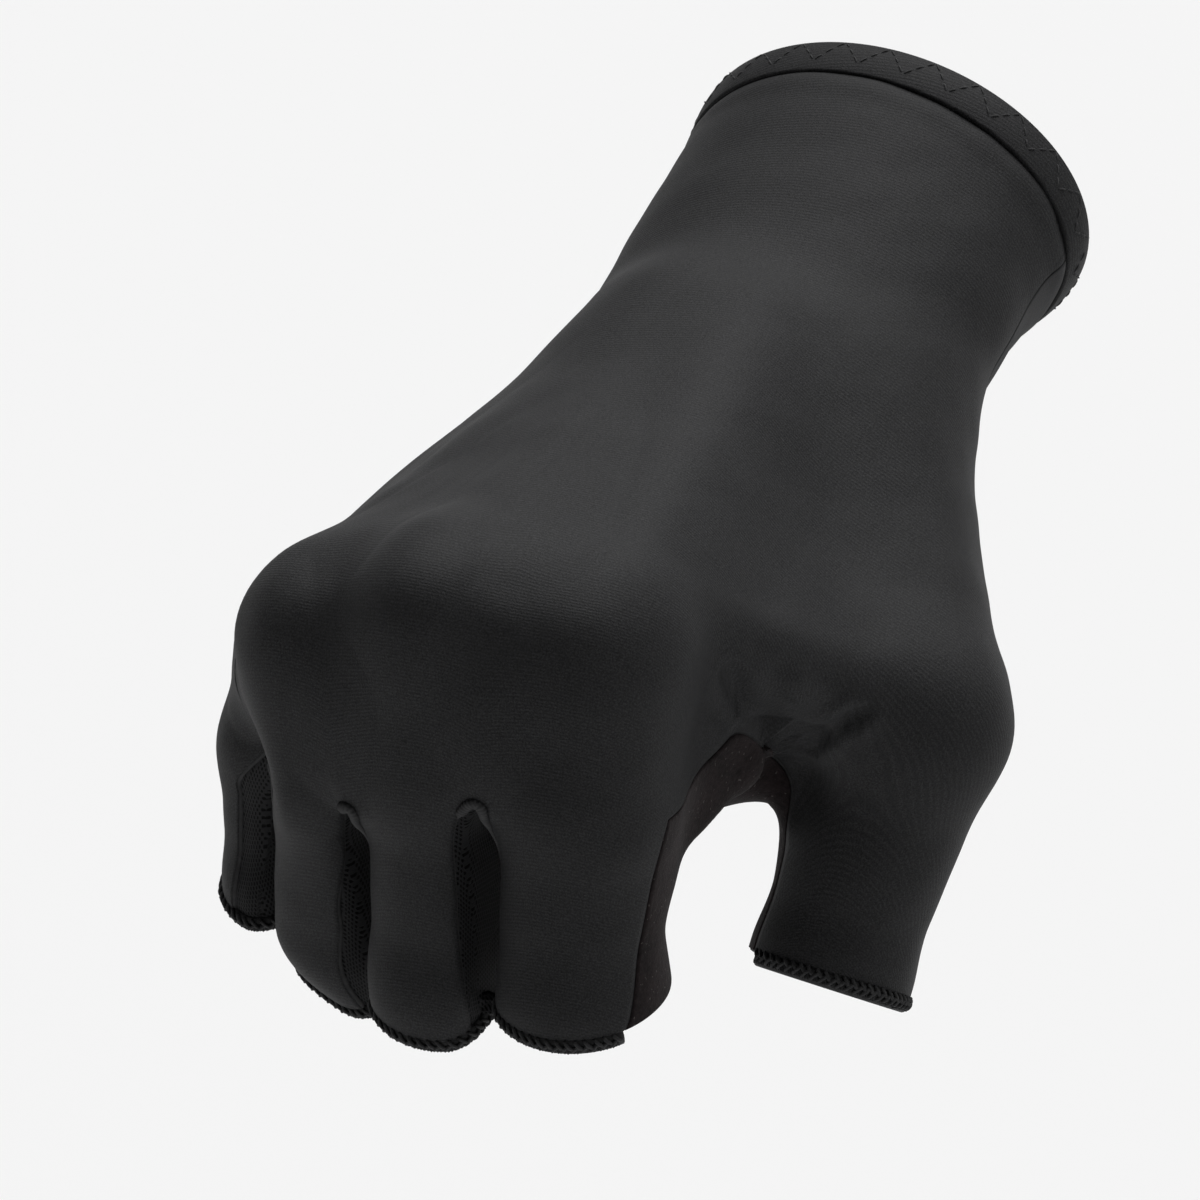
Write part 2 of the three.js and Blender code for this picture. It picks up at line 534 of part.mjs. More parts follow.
// The same on the palm side
function palm_slit_point(a, b) {
  const inner = { part: 'shaft', t: 0.2 };
  const side = side_of(a.digit, b.digit);
  const from = on_side(between(a.digit, b.digit, inner), side);
  return touch({ from, dir: unit(sub(scale(side.a.along, 0.5), side.out)) });
}

// A sheet collects points of the outer face and the four-sided faces between them, and becomes a closed wall
class Sheet {
  constructor() {
    this.points = [];
    this.faces = [];
    this.pinned = new Set();
  }

  put(point) {
    this.points.push(point);
    return this.points.length - 1;
  }

  // rows of point numbers; flip turns the faces over
  weave(rows, flip = false) {
    for (let r = 0; r + 1 < rows.length; r += 1) {
      for (let c = 0; c + 1 < rows[r].length; c += 1) {
        const q = [rows[r][c], rows[r + 1][c], rows[r + 1][c + 1], rows[r][c + 1]];
        this.faces.push(flip ? q.reverse() : q);
      }
    }
  }

  // Edges with a face on one side only, as pairs of point numbers
  rim() {
    const edges = new Map();
    for (const [a, b, c, d] of this.faces) {
      for (const [i, j] of [[a, b], [b, c], [c, d], [d, a]]) {
        if (edges.has(`${j}_${i}`)) edges.delete(`${j}_${i}`);
        else edges.set(`${i}_${j}`, [i, j]);
      }
    }
    return [...edges.values()];
  }

  // Spreads the inner points evenly over the outer face, the rim and the pinned points stay where they are
  settle(passes, share = 0.6) {
    const fixed = new Set([...this.rim().flat(), ...this.pinned]);
    const near = this.points.map(() => new Set());
    for (const f of this.faces) {
      f.forEach((i, k) => {
        near[i].add(f[(k + 1) % 4]);
        near[i].add(f[(k + 3) % 4]);
      });
    }
    for (let pass = 0; pass < passes; pass += 1) {
      this.points = this.points.map((p, i) => {
        if (fixed.has(i)) return p;
        let mean = [0, 0, 0];
        for (const j of near[i]) mean = add(mean, this.points[j]);
        return onto(mix(p, scale(mean, 1 / near[i].size), share), 1);
      });
    }
    this.points = this.points.map((p) => onto(p, 2));
  }

  // Draws the rim back into the sheet
  inset(by) {
    const next = new Map(this.rim());
    const prev = new Map(this.rim().map(([i, j]) => [j, i]));
    const moved = new Map();
    for (const [i, j] of next) {
      const p = this.points[i];
      const n = outward(p);
      const into = (a, b) => unit(cross(n, sub(this.points[b], this.points[a])));
      const one = into(prev.get(i), i);
      const two = into(i, j);
      const m = unit(add(one, two));
      moved.set(i, scale(m, by / Math.max(dot(m, one), 0.45)));
    }
    for (const [i, d] of moved) this.points[i] = onto(add(this.points[i], d), 2);
  }

  solid(wall = WALL) {
    const n = this.points.length;
    const inn = this.points.map((p) => {
      const d = outward(p);
      return reach(sub(p, scale(d, 3)), d, -wall);
    });
    const points = [...this.points, ...inn];
    const tris = [];
    const far = (i, j) => Math.hypot(...sub(points[i], points[j]));
    const quad = (a, b, c, d) => {
      if (far(a, c) <= far(b, d)) tris.push([a, b, c], [a, c, d]);
      else tris.push([a, b, d], [b, c, d]);
    };
    for (const [a, b, c, d] of this.faces) {
      quad(a, b, c, d);
      quad(d + n, c + n, b + n, a + n);
    }
    for (const [i, j] of this.rim()) quad(j, i, i + n, j + n);
    return to_geometry(points, tris);
  }
}

function to_geometry(points, tris) {
  let volume = 0;
  for (const [a, b, c] of tris) volume += dot(points[a], cross(points[b], points[c]));
  const g = new THREE.BufferGeometry();
  g.setAttribute('position', new THREE.Float32BufferAttribute(points.flat(), 3));
  g.setIndex(tris.flatMap((t) => (volume < 0 ? [t[0], t[2], t[1]] : t)));
  g.computeVertexNormals();
  return g;
}

// Points of the seam around the web at the rows of the index finger, at the notch and at the thumb's rows
const ALONG_INDEX = [null, ...HAND_ROWS];
function web_seam_point(col, row) {
  if (col.digit === 'gap') return onto(WEB_SEAM.notch);
  if (col.digit === 'index') {
    const i = row.part === 'palm' && row.t === SPLIT_AT ? 0 : ALONG_INDEX.indexOf(row);
    const from = curve(...WEB_SEAM.index, i / HAND_ROWS.length);
    return i < 0 ? digit_point(col, row) : touch({ from, dir: [1, 0, 0] });
  }
  const i = row.part === 'palm' ? 0 : 1 + THUMB_ROWS.indexOf(row);
  return i < WEB_SEAM.thumb.length ? onto(WEB_SEAM.thumb[i]) : digit_point(col, row);
}

// Points of the suede between the seam around the web and the palm
function web_line_point(col, row) {
  const line = WEB_LINES[col.web];
  if (col.digit === 'gap') return onto(line.middle);
  if (col.digit === 'index') {
    const i = row.part === 'palm' && row.t === SPLIT_AT ? 0 : ALONG_INDEX.indexOf(row);
    return i < 0 ? digit_point(col, row) : onto(mix(...line.index, i / HAND_ROWS.length));
  }
  const i = row.part === 'palm' ? 0 : 1 + THUMB_ROWS.indexOf(row);
  return i < 4 ? onto(mix(...line.thumb, i / 4)) : digit_point(col, row);
}

// Lead rows across all digits, hand rows down to the slits, then strips digit by digit
function panel(columns, palm_side) {
  const sheet = new Sheet();
  const cols = columns;
  const split_row = LEAD_ROWS[LEAD_ROWS.length - 1];
  const at_web = (c, row) => (c.seam ? web_seam_point(c, row) : web_line_point(c, row));
  const point = (c, row) => (c.seam || c.web !== undefined ? at_web(c, row) : digit_point(c, row));
  const put_web = (c, row) => {
    const k = sheet.put(point(c, row));
    if (c.web !== undefined) sheet.pinned.add(k);
    return k;
  };
  const lead = LEAD_ROWS.map((row) => cols.map((c) => {
    if (row === split_row && (c.seam || c.web !== undefined)) return put_web(c, row);
    return sheet.put(lead_point(c, row));
  }));
  sheet.weave(lead, palm_side);
  const web = cols.findLastIndex((c) => c.digit === 'gap');
  const split = lead[lead.length - 1];
  const more = palm_side ? WEB_COLUMNS : { index: [], thumb: [] };
  const index_start = more.index.map((c) => put_web(c, split_row));
  const thumb_start = more.thumb.map((c) => put_web(c, split_row));
  // the four fingers side by side down to the slits
  const fingers = [...cols.slice(0, web), ...more.index];
  const hand = [[...split.slice(0, web), ...index_start]];
  const slit_row = HAND_ROWS[HAND_ROWS.length - 1];
  const low_row = { ...slit_row, t: PALM_SLIT_AT };
  const slit = fingers.map((c) => {
    if (c.digit === 'gap') return null;
    const plain = palm_side && !c.seam && c.web === undefined;
    return plain ? digit_point({ ...c, lane: undefined }, low_row) : point(c, slit_row);
  });
  fingers.forEach((c, i) => {
    if (c.digit !== 'gap') return;
    const [a, b] = [fingers[i - 1], fingers[i + 1]];
    if (palm_side) slit[i] = palm_slit_point(a, b);
    else [slit[i - 1], slit[i], slit[i + 1]] = slit_points(a, b, slit_row);
  });
  HAND_ROWS.forEach((row, k) => {
    hand.push(fingers.map((c, i) => {
      if (c.seam || c.web !== undefined) return put_web(c, row);
      if (row === slit_row) return sheet.put(slit[i]);
      if (palm_side && i > 0) {
        return sheet.put(onto(mix(sheet.points[hand[0][i]], slit[i], (k + 1) / HAND_ROWS.length)));
      }
      return sheet.put(c.digit === 'gap' ? touch(lane_ray(c.lane, c.palm, row)) : digit_point(c, row));
    }));
  });
  sheet.weave(hand, palm_side);
  const last = hand[hand.length - 1];
  const strips = {};
  const gaps = {};
  let from = 0;
  for (const f of [...FINGERS].reverse()) {
    let to = from;
    while (to < fingers.length && fingers[to].digit === f.name) to += 1;
    const rows = [last.slice(from, to)];
    const hem_row = STRIP_ROWS[STRIP_ROWS.length - 1];
    STRIP_ROWS.forEach((row, k) => rows.push(fingers.slice(from, to).map((c, i) => {
      if (!palm_side || c.seam || from + i === 0) return sheet.put(digit_point(c, row));
      const start = sheet.points[rows[0][i]];
      return sheet.put(onto(mix(start, digit_point(c, hem_row), (k + 1) / STRIP_ROWS.length)));
    })));
    sheet.weave(rows, palm_side);
    strips[f.name] = rows;
    gaps[f.name] = last[to];
    from = to + 1;
  }
  // the thumb
  const thumb_cols = [...more.thumb, ...cols.slice(web + 1)];
  const rows = [[...thumb_start, ...split.slice(web + 1)]];
  const put_thumb = (c, row, k) => (k < 3 ? put_web(c, row) : sheet.put(point(c, row)));
  THUMB_ROWS.forEach((row, k) => rows.push(thumb_cols.map((c) => put_thumb(c, row, k))));
  sheet.weave(rows, palm_side);
  strips.thumb = rows;
  // the web between index finger and thumb
  if (palm_side) {
    const middle = [1, 2].map((k) => put_web({ digit: 'gap', web: k }, split_row));
    middle.push(sheet.put(onto(WEB_SEAM.notch)));
    sheet.weave([
      [split[web - 1], ...index_start],
      [split[web], ...middle],
      [split[web + 1], ...[...thumb_start].reverse()],
    ], !palm_side);
  }
  return { sheet, strips, gaps, hand, lead };
}

const back = panel(BACK_COLUMNS, false);
const palm = panel(PALM_COLUMNS, true);
for (const { sheet } of [back, palm]) sheet.settle(30);

// A net strip between two neighbouring fingers, from one hem up around the web and down to the other hem
const NET_COLUMNS = 5;
function gusset(a, b) {
  const sheet = new Sheet();
  const last = (row) => row[row.length - 1];
  const ends = (name, k, far) => {
    const pick = (part) => part.sheet.points[far ? last(part.strips[name][k]) : part.strips[name][k][0]];
    return [pick(back), pick(palm)];
  };
  const shares = Array.from({ length: NET_COLUMNS - 1 }, (_, i) => (i + 1) / NET_COLUMNS);
  const side_row = (f, k, far) => {
    const [one, two] = ends(f.name, k, far);
    const { place } = digit_section(f.name, STRIP_ROWS[k - 1]);
    const at = (s) => own_touch(f.name, { from: place, dir: unit(sub(mix(one, two, s), place)) });
    return [one, ...shares.map(at), two];
  };
  const along = unit(add(a.along, b.along));
  const top = [back.sheet.points[back.gaps[b.name]], palm.sheet.points[palm.gaps[b.name]]];
  const web_at = (s) => touch({ from: sub(mix(...top, s), scale(along, 4)), dir: along });
  const web = [top[0], ...shares.map(web_at), top[1]];
  const near_web = (f, next, far) => {
    const [one, two] = ends(f.name, 0, far);
    return [one, ...shares.map((_, i) => onto(mix(web[i + 1], next[i + 1], 0.5))), two];
  };
  const down = STRIP_ROWS.map((_, i) => i + 1);
  const one = down.map((k) => side_row(a, k, false));
  const two = down.map((k) => side_row(b, k, true));
  const rows = [...[...one].reverse(), near_web(a, one[0], false), web, near_web(b, two[0], true), ...two];
  sheet.weave(rows.map((row) => row.map((p) => sheet.put(p))));
  sheet.settle(10);
  return sheet;
}
const gussets = [0, 1, 2].map((i) => gusset(FINGERS[i], FINGERS[i + 1]));
for (const sheet of [back.sheet, palm.sheet, ...gussets]) sheet.inset(SEAM_GAP / 2);

// Closed or open run of equal loops of points
function sweep(loops, closed) {
  const n = loops[0].length;
  const tris = [];
  const count = closed ? loops.length : loops.length - 1;
  for (let i = 0; i < count; i += 1) {
    const j = (i + 1) % loops.length;
    for (let k = 0; k < n; k += 1) {
      const l = (k + 1) % n;
      tris.push([i * n + k, i * n + l, j * n + l], [i * n + k, j * n + l, j * n + k]);
    }
  }
  if (!closed) {
    const end = (loops.length - 1) * n;
    for (let k = 1; k + 1 < n; k += 1) tris.push([0, k + 1, k], [end, end + k, end + k + 1]);
  }
  return to_geometry(loops.flat(), tris);
}

// Cuff: profile as distances along the sleeve from the opening and out of its outer face
const CUFF_STEPS = 48;
const CUFF_PROFILE = [
  { back: CUFF_WIDTH, out: CUFF_OUT - CUFF_WALL },
  { back: CUFF_WIDTH, out: 0.3 },
  { back: CUFF_WIDTH - 0.6, out: CUFF_OUT },
  { back: 0.6, out: CUFF_OUT },
  { back: 0, out: 0.2 },
  { back: 0, out: CUFF_OUT - CUFF_WALL },
];
function cuff() {
  const loops = [];
  for (let i = 0; i < CUFF_STEPS; i += 1) {
    const t = 2 * Math.PI * i / CUFF_STEPS;
    loops.push(CUFF_PROFILE.map(({ back: b, out }) => {
      const s = sleeve_at(-b);
      const n = unit([Math.cos(t) / s.half_w, 0, Math.sin(t) / s.half_h]);
      return add([s.cx + s.half_w * Math.cos(t), -b, s.cz + s.half_h * Math.sin(t)], scale(n, out));
    }));
  }
  return sweep(loops, true);
}

// Hems: profile as distances beyond the end of the cloth and out of its outer face. lift is what is left
// out beside a neighbouring finger
const HEM_STEP = 16;
const HEM_PROFILE = [
  { on: SEAM_GAP / 2, out: -1.3, lift: 0 },
  { on: SEAM_GAP / 2, out: 0.1, lift: 0 },
  { on: 0.8, out: HEM_OUT, lift: 0.4 },
  { on: 1.6, out: HEM_OUT, lift: 0.4 },
  { on: SEAM_GAP + HEM_WIDTH, out: 0.1, lift: 0 },
  { on: SEAM_GAP + HEM_WIDTH, out: HEM_OUT - HEM_WALL + 0.3, lift: 0 },
];
function hem(name, from, to, crowded) {
  const f = name === 'thumb' ? null : by_name(name);
  const along = f ? f.hem_along : unit(sub(THUMB.tip, THUMB.joint));
  const end = f ? { part: 'tip', t: 1 } : THUMB_ROWS[THUMB_ROWS.length - 1];
  const s = digit_section(name, end);
  const steps = Math.ceil((to - from) / HEM_STEP);
  const loops = [];
  for (let i = 0; i <= steps; i += 1) {
    const deg = from + (to - from) * i / steps;
    const p = own_touch(name, ray_at(s, deg));
    const n = off_axis(outward(p), along);
    const near = crowded * ease((Math.abs(deg) - 40) / 30);
    loops.push(HEM_PROFILE.map((row) => (
      add(add(p, scale(along, row.on)), scale(n, row.out - row.lift * near)))));
  }
  return sweep(loops, false);
}
const HEMS = [
  { name: 'index', from: -133, to: 56, crowded: 1 }, { name: 'middle', from: -141, to: 129, crowded: 1 },
  { name: 'ring', from: -159, to: 133, crowded: 1 }, { name: 'little', from: -107, to: 109, crowded: 1 },
  { name: 'thumb', from: -61, to: 103, crowded: 0 },
];

function piece(name, geometry, look) {
  const mesh = new THREE.Mesh(geometry, new THREE.MeshStandardMaterial(look));
  mesh.name = name;
  return mesh;
}
const KNIT = { color: 0x1b1b1c, roughness: 0.72, metalness: 0 };
const SUEDE = { color: 0x262120, roughness: 0.95, metalness: 0 };
const NET = { color: 0x101011, roughness: 0.85, metalness: 0 };
const THREAD = { color: 0x131313, roughness: 0.8, metalness: 0 };

const group = new THREE.Group();
group.add(piece('back_panel', back.sheet.solid(), KNIT));
group.add(piece('palm_panel', palm.sheet.solid(), SUEDE));
group.add(piece('index_middle_gusset', gussets[0].solid(), NET));
group.add(piece('middle_ring_gusset', gussets[1].solid(), NET));
group.add(piece('ring_little_gusset', gussets[2].solid(), NET));
group.add(piece('cuff_band', cuff(), KNIT));
for (const h of HEMS) group.add(piece(`${h.name}_hem`, hem(h.name, h.from, h.to, h.crowded), THREAD));
export default group;
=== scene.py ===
import math

import bmesh
import bpy
import numpy as np
from bpy.props import FloatProperty, FloatVectorProperty, PointerProperty
from bpy.types import Operator, Panel, PropertyGroup
from mathutils import Matrix, Vector


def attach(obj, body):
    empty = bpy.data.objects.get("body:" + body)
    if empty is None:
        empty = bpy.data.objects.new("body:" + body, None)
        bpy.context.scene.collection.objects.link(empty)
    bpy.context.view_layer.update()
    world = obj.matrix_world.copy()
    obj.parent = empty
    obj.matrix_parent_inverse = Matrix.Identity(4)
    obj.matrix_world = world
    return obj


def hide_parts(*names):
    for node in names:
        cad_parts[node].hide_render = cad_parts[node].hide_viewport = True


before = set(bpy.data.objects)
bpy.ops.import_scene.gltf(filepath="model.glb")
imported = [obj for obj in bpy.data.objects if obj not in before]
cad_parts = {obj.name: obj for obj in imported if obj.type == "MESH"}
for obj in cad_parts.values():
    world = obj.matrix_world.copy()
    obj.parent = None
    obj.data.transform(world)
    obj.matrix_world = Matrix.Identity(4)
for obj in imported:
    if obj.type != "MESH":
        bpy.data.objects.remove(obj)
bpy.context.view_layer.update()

bl_info = {
    "name": "Half-finger cycling glove",
    "version": (1, 0, 0),
    "blender": (4, 5, 0),
    "location": "View3D > Sidebar > Glove",
    "description": "Models a half-finger stretch glove in its worn form, with knit, suede, net and stitches",
    "category": "Add Mesh",
}

MM = 0.001
FAR = 1e9

# The form of the glove
# Wrist sleeve: place along Y, middle of the section, half width and half height
SLEEVE = np.array([
    (6, 0.0, 0.2, 31.2, 23.0),
    (0, 0.0, 0.1, 30.5, 22.3),
    (-18, 0.7, -1.4, 29.1, 20.4),
    (-38, 2.2, -3.8, 28.5, 18.9),
    (-56, 3.4, -6.2, 27.7, 17.5),
    (-72, 4.4, -8.5, 27.1, 16.2),
], float)

# Fingers: knuckle and middle joint, bend, radii at knuckle, shaft and joint, the hem's place past the joint
FINGERS = {
    "index": dict(knuckle=(22.9, -133.8, 8.8), joint=(25.6, -144.8, -35.0),
                  bend=40, radii=(11.0, 11.5, 10.4), hem=0.4),
    "middle": dict(knuckle=(3.7, -137.1, 10.5), joint=(7.1, -144.6, -39.6),
                   bend=40, radii=(11.6, 11.2, 10.9), hem=1.0),
    "ring": dict(knuckle=(-13.8, -137.6, 3.0), joint=(-10.2, -138.6, -45.0),
                 bend=42, radii=(10.7, 11.5, 9.0), hem=1.4),
    "little": dict(knuckle=(-23.6, -125.8, -7.7), joint=(-25.8, -133.6, -42.3),
                   bend=42, radii=(7.6, 10.6, 7.3), hem=1.0),
}
THUMB = dict(root=(19.6, -52.1, -10.5), knuckle=(45.5, -88.8, -23.6), joint=(42.1, -105.3, -53.5),
             tip=(41.6, -123.2, -73.9), radii=(14.6, 12.5, 10.3, 10.5), hem=1.2)
SIDE_GAP = 1.0
# Planes between neighbouring fingers: shifts at the knuckles and joints, and turn
SIDE_PLANES = [
    ("index", "middle", 1.4, 1.4, 3),
    ("middle", "ring", 1.4, 1.4, 10),
    ("ring", "little", 1.0, 1.0, 28),
]
# Soft pads of the palm: middle and half sizes
PADS = [((-19.6, -88.8, -12.7), (12.9, 33.7, 12.3)), ((18.8, -87.3, -22.3), (14.1, 30.9, 16.3))]
# Corners of the cloth between the index finger and the web of the thumb: knuckle, shaft, bulge and top
TIE = np.array([(28.2, -129, 2), (28.0, -133.5, -21.0), (30.6, -111.8, -18.4), (29.4, -107, -7)])
# Bridge between two fingers: its end as a share of the way from knuckle to joint, and its height
BRIDGE_END, BRIDGE_RISE = 0.34, 6.2
# Half thicknesses of the hand's rays, of the cloth at the web of the thumb and of the tie and its bulge
THICKNESS = dict(ray=9.4, web=6.4, tie=4.0, bulge=4.6)
# Widths over which two forms run into each other
SOFTNESS = dict(digit=4, side=3, bridge=6, sleeve=12, pad=10, web=8, tie=3.5, bulge=2.5, thumb=12, fingers=7)
WALL = 1.1


def vec(*a):
    return np.array(a[0] if len(a) == 1 else a, float)


def unit(a):
    return a / np.linalg.norm(a)


def lengths(a):
    return np.linalg.norm(a, axis=-1)


def units(a):
    return a / np.maximum(lengths(a), 1e-9)[..., None]


def off_axis(a, axis):
    return unit(a - axis * (a @ axis))


def turned(a, axis, deg):
    c, s = math.cos(math.radians(deg)), math.sin(math.radians(deg))
    return a * c + np.cross(axis, a) * s + axis * (axis @ a) * (1 - c)


def ease(x):
    t = np.clip(x, 0, 1)
    return t * t * (3 - 2 * t)


def join(a, b, k):
    h = np.maximum(k - np.abs(a - b), 0) / k
    return np.minimum(a, b) - h * h * k * 0.25


def meet(a, b, k):
    return -join(-a, -b, k)


def dots(a, b):
    return np.einsum("ij,ij->i", a, b)


def cone(p, a, b, ra, rb):
    """Distance to a cone with round ends."""
    ba = b - a
    l2 = ba @ ba
    rr = ra - rb
    a2 = l2 - rr * rr
    pa = p - a
    y = pa @ ba
    z = y - l2
    q = pa * l2 - ba * y[:, None]
    x2 = dots(q, q)
    k = np.sign(rr) * rr * rr * x2
    far = np.sign(z) * a2 * z * z * l2 > k
    near = np.sign(y) * a2 * y * y * l2 < k
    at_a, at_b = np.sqrt(x2 + y * y * l2) / l2 - ra, np.sqrt(x2 + z * z * l2) / l2 - rb
    side = (np.sqrt(x2 * a2 / l2) + y * rr) / l2 - ra
    return np.where(far, at_b, np.where(near, at_a, side))


def plate(p, a, b, c, r):
    """Distance to a triangle thickened by r."""
    ba, cb, ac = b - a, c - b, a - c
    pa, pb, pc = p - a, p - b, p - c
    n = np.cross(ba, ac)
    side = np.sign(pa @ np.cross(ba, n)) + np.sign(pb @ np.cross(cb, n)) + np.sign(pc @ np.cross(ac, n))

    def edge(q, d):
        w = q - d * np.clip(q @ d / (d @ d), 0, 1)[:, None]
        return dots(w, w)

    rim = np.sqrt(np.minimum(np.minimum(edge(pa, ba), edge(pb, cb)), edge(pc, ac)))
    return np.where(side < 2, rim, np.abs(pa @ n) / np.linalg.norm(n)) - r


def quad(p, c, r):
    """Distance to the two triangles of a thick plate with four corners."""
    return np.minimum(plate(p, c[0], c[1], c[2], r), plate(p, c[0], c[2], c[3], r))


def pad(p, centre, half):
    q = p - vec(centre)
    half = vec(half)
    k0 = lengths(q / half)
    k1 = lengths(q / half ** 2)
    return k0 / np.maximum(k1, 1e-9) * (k0 - 1)


def sleeve_at(y):
    """Middle, half width and half height of the wrist sleeve at places along Y."""
    table = SLEEVE[::-1]
    yy = np.clip(y, table[0, 0], table[-1, 0])
    return [np.interp(yy, table[:, 0], table[:, k]) for k in range(1, 5)]


def sleeve(p):
    cx, cz, hw, hh = sleeve_at(p[:, 1])
    qx, qz = (p[:, 0] - cx) / hw, (p[:, 2] - cz) / hh
    k0 = np.hypot(qx, qz)
    k1 = np.hypot(qx / hw, qz / hh)
    return meet(k0 / np.maximum(k1, 1e-9) * (k0 - 1), SLEEVE[-1, 0] - p[:, 1], 10)


for f in FINGERS.values():
    f["knuckle"], f["joint"] = vec(f["knuckle"]), vec(f["joint"])
    f["along"] = unit(f["joint"] - f["knuckle"])
    f["across"] = off_axis(vec(1, 0, 0), f["along"])
    f["back"] = np.cross(f["across"], f["along"])
    if f["back"][1] > 0:
        f["back"] = -f["back"]
    f["root"] = vec(f["knuckle"][0] * 0.25, -58, 2.4)
    t = math.radians(f["bend"])
    f["next"] = f["along"] * math.cos(t) - f["back"] * math.sin(t)
    t = math.radians(f["bend"] * 0.4)
    f["hem_along"] = f["along"] * math.cos(t) - f["back"] * math.sin(t)
    f["hem_at"] = f["joint"] + f["next"] * f["hem"]
for key in ("root", "knuckle", "joint", "tip"):
    THUMB[key] = vec(THUMB[key])


def point_on(f, t):
    return f["knuckle"] * (1 - t) + f["joint"] * t


SIDES = []
for one, two, high, low, turn in SIDE_PLANES:
    a, b = FINGERS[one], FINGERS[two]
    way = unit(b["knuckle"] - a["knuckle"])
    low = (a["joint"] + b["joint"]) / 2 + way * low
    high = (a["knuckle"] + b["knuckle"]) / 2 + way * high
    along = unit(low - high)
    out = turned(off_axis(vec(0, -1, 0), along), along, turn)
    n = unit(np.cross(along, out))
    if n @ way > 0:
        n = -n
    SIDES.append(dict(a=one, b=two, low=low, n=n))


def finger_form(p, name):
    f = FINGERS[name]
    r0, r1, r2 = f["radii"]
    mid = point_on(f, 0.45)
    g = join(cone(p, f["knuckle"], mid, r0, r1), cone(p, mid, f["joint"], r1, r2), SOFTNESS["digit"] / 2)
    g = join(g, cone(p, f["joint"], f["joint"] + f["next"] * 20, r2, r2 - 1), SOFTNESS["digit"])
    for s in SIDES:
        for key, sign in (("a", -1), ("b", 1)):
            if s[key] == name:
                g = meet(g, SIDE_GAP + sign * ((p - s["low"]) @ s["n"]), SOFTNESS["side"])
    return g


def bridges():
    """The plates between two neighbouring fingers: half thickness and four corners of each."""
    rows = []
    for s in SIDES:
        a, b = FINGERS[s["a"]], FINGERS[s["b"]]
        up = [(f["back"] + vec(0, 0, 1)) * BRIDGE_RISE * 0.7 for f in (a, b)]
        out = [point_on(f, BRIDGE_END) + f["back"] * BRIDGE_RISE for f in (a, b)]
        rows.append([
            (6.7, (a["root"], a["knuckle"], b["knuckle"], b["root"])),
            (6.5, (a["knuckle"], point_on(a, 0.25), point_on(b, 0.25), b["knuckle"])),
            (3.5, (a["knuckle"] + up[0], out[0], out[1], b["knuckle"] + up[1])),
        ])
    return rows


BRIDGES = bridges()
WEB_UP = unit(vec(0.25, -0.25, 0.93)) * 4.7
WEB_CORNERS = [c + WEB_UP for c in (
    FINGERS["index"]["root"], FINGERS["index"]["root"] * 0.12 + FINGERS["index"]["knuckle"] * 0.88,
    THUMB["knuckle"], THUMB["root"])]


def body_form(p):
    g = np.full(len(p), FAR)
    for f in FINGERS.values():
        ray = cone(p, f["root"], f["knuckle"] + vec(0, 3, 0), THICKNESS["ray"], f["radii"][0] - 0.3)
        g = join(g, ray, SOFTNESS["bridge"])
    for rows in BRIDGES:
        g = join(g, np.minimum.reduce([quad(p, corners, r) for r, corners in rows]), SOFTNESS["bridge"])
    g = join(g, sleeve(p), SOFTNESS["sleeve"])
    for centre, half in PADS:
        g = join(g, pad(p, centre, half), SOFTNESS["pad"])
    g = join(g, quad(p, WEB_CORNERS, THICKNESS["web"]), SOFTNESS["web"])
    g = join(g, quad(p, TIE, THICKNESS["tie"]), SOFTNESS["tie"])
    return join(g, lengths(p - TIE[2]) - THICKNESS["bulge"], SOFTNESS["bulge"])


def thumb_form(p):
    t = THUMB
    r = t["radii"]
    g = join(cone(p, t["root"], t["knuckle"], r[0], r[1]), cone(p, t["knuckle"], t["joint"], r[1], r[2]), 5)
    return join(g, cone(p, t["joint"], t["tip"], r[2], r[3]), 4)


def form(p):
    """Distance of points to the outer face of the glove."""
    fingers = np.minimum.reduce([finger_form(p, name) for name in FINGERS])
    return join(join(body_form(p), thumb_form(p), SOFTNESS["thumb"]), fingers, SOFTNESS["fingers"])


def outward(p, e=0.05):
    """Directions out of the plain form at points."""
    g = np.zeros_like(p)
    for c in ((1, -1, -1), (-1, 1, -1), (-1, -1, 1), (1, 1, 1)):
        c = vec(c)
        g += form(p + c * e)[:, None] * c
    return units(g)


def onto(p, steps):
    """Moves points onto the plain form."""
    for _ in range(steps):
        p = p - outward(p) * (form(p) * 0.95)[:, None]
    return p


# Cloth sheets
def read(rows, key, width, kind=float):
    """The values of one property of many mesh elements, one row for each."""
    out = np.empty(len(rows) * width, kind)
    rows.foreach_get(key, out)
    return out.reshape(-1, width)


def node_points(name):
    """Corner points and triangles of a CAD node, with its doubles merged."""
    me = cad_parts[name].data
    me.calc_loop_triangles()
    co = read(me.vertices, "co", 3)
    keys = np.round(co / MM * 2000).astype(np.int64)
    _, first, back = np.unique(keys, axis=0, return_index=True, return_inverse=True)
    points = co[first] / MM
    tris = back.reshape(-1)[read(me.loop_triangles, "vertices", 3, np.int64)]
    whole = (tris[:, 0] != tris[:, 1]) & (tris[:, 1] != tris[:, 2]) & (tris[:, 0] != tris[:, 2])
    return points, tris[whole]


def outer_face(name):
    """The outer face of a cloth node, without its inner face and its rim."""
    points, tris = node_points(name)
    out = form(points) > -WALL / 2
    used, tris = np.unique(tris[out[tris].all(1)], return_inverse=True)
    return points[used], tris.reshape(-1, 3)


def edges_of(tris):
    e = np.concatenate([tris[:, [0, 1]], tris[:, [1, 2]], tris[:, [2, 0]]])
    uniq, inv, count = np.unique(np.sort(e, 1), axis=0, return_inverse=True, return_counts=True)
    return e, uniq, inv.reshape(-1), count


def rim_next(tris):
    """For each rim point the one after it, going round the sheet with the cloth on the left."""
    e, _, inv, count = edges_of(tris)
    rim = e[count[inv] == 1]
    return dict(zip(rim[:, 0].tolist(), rim[:, 1].tolist()))


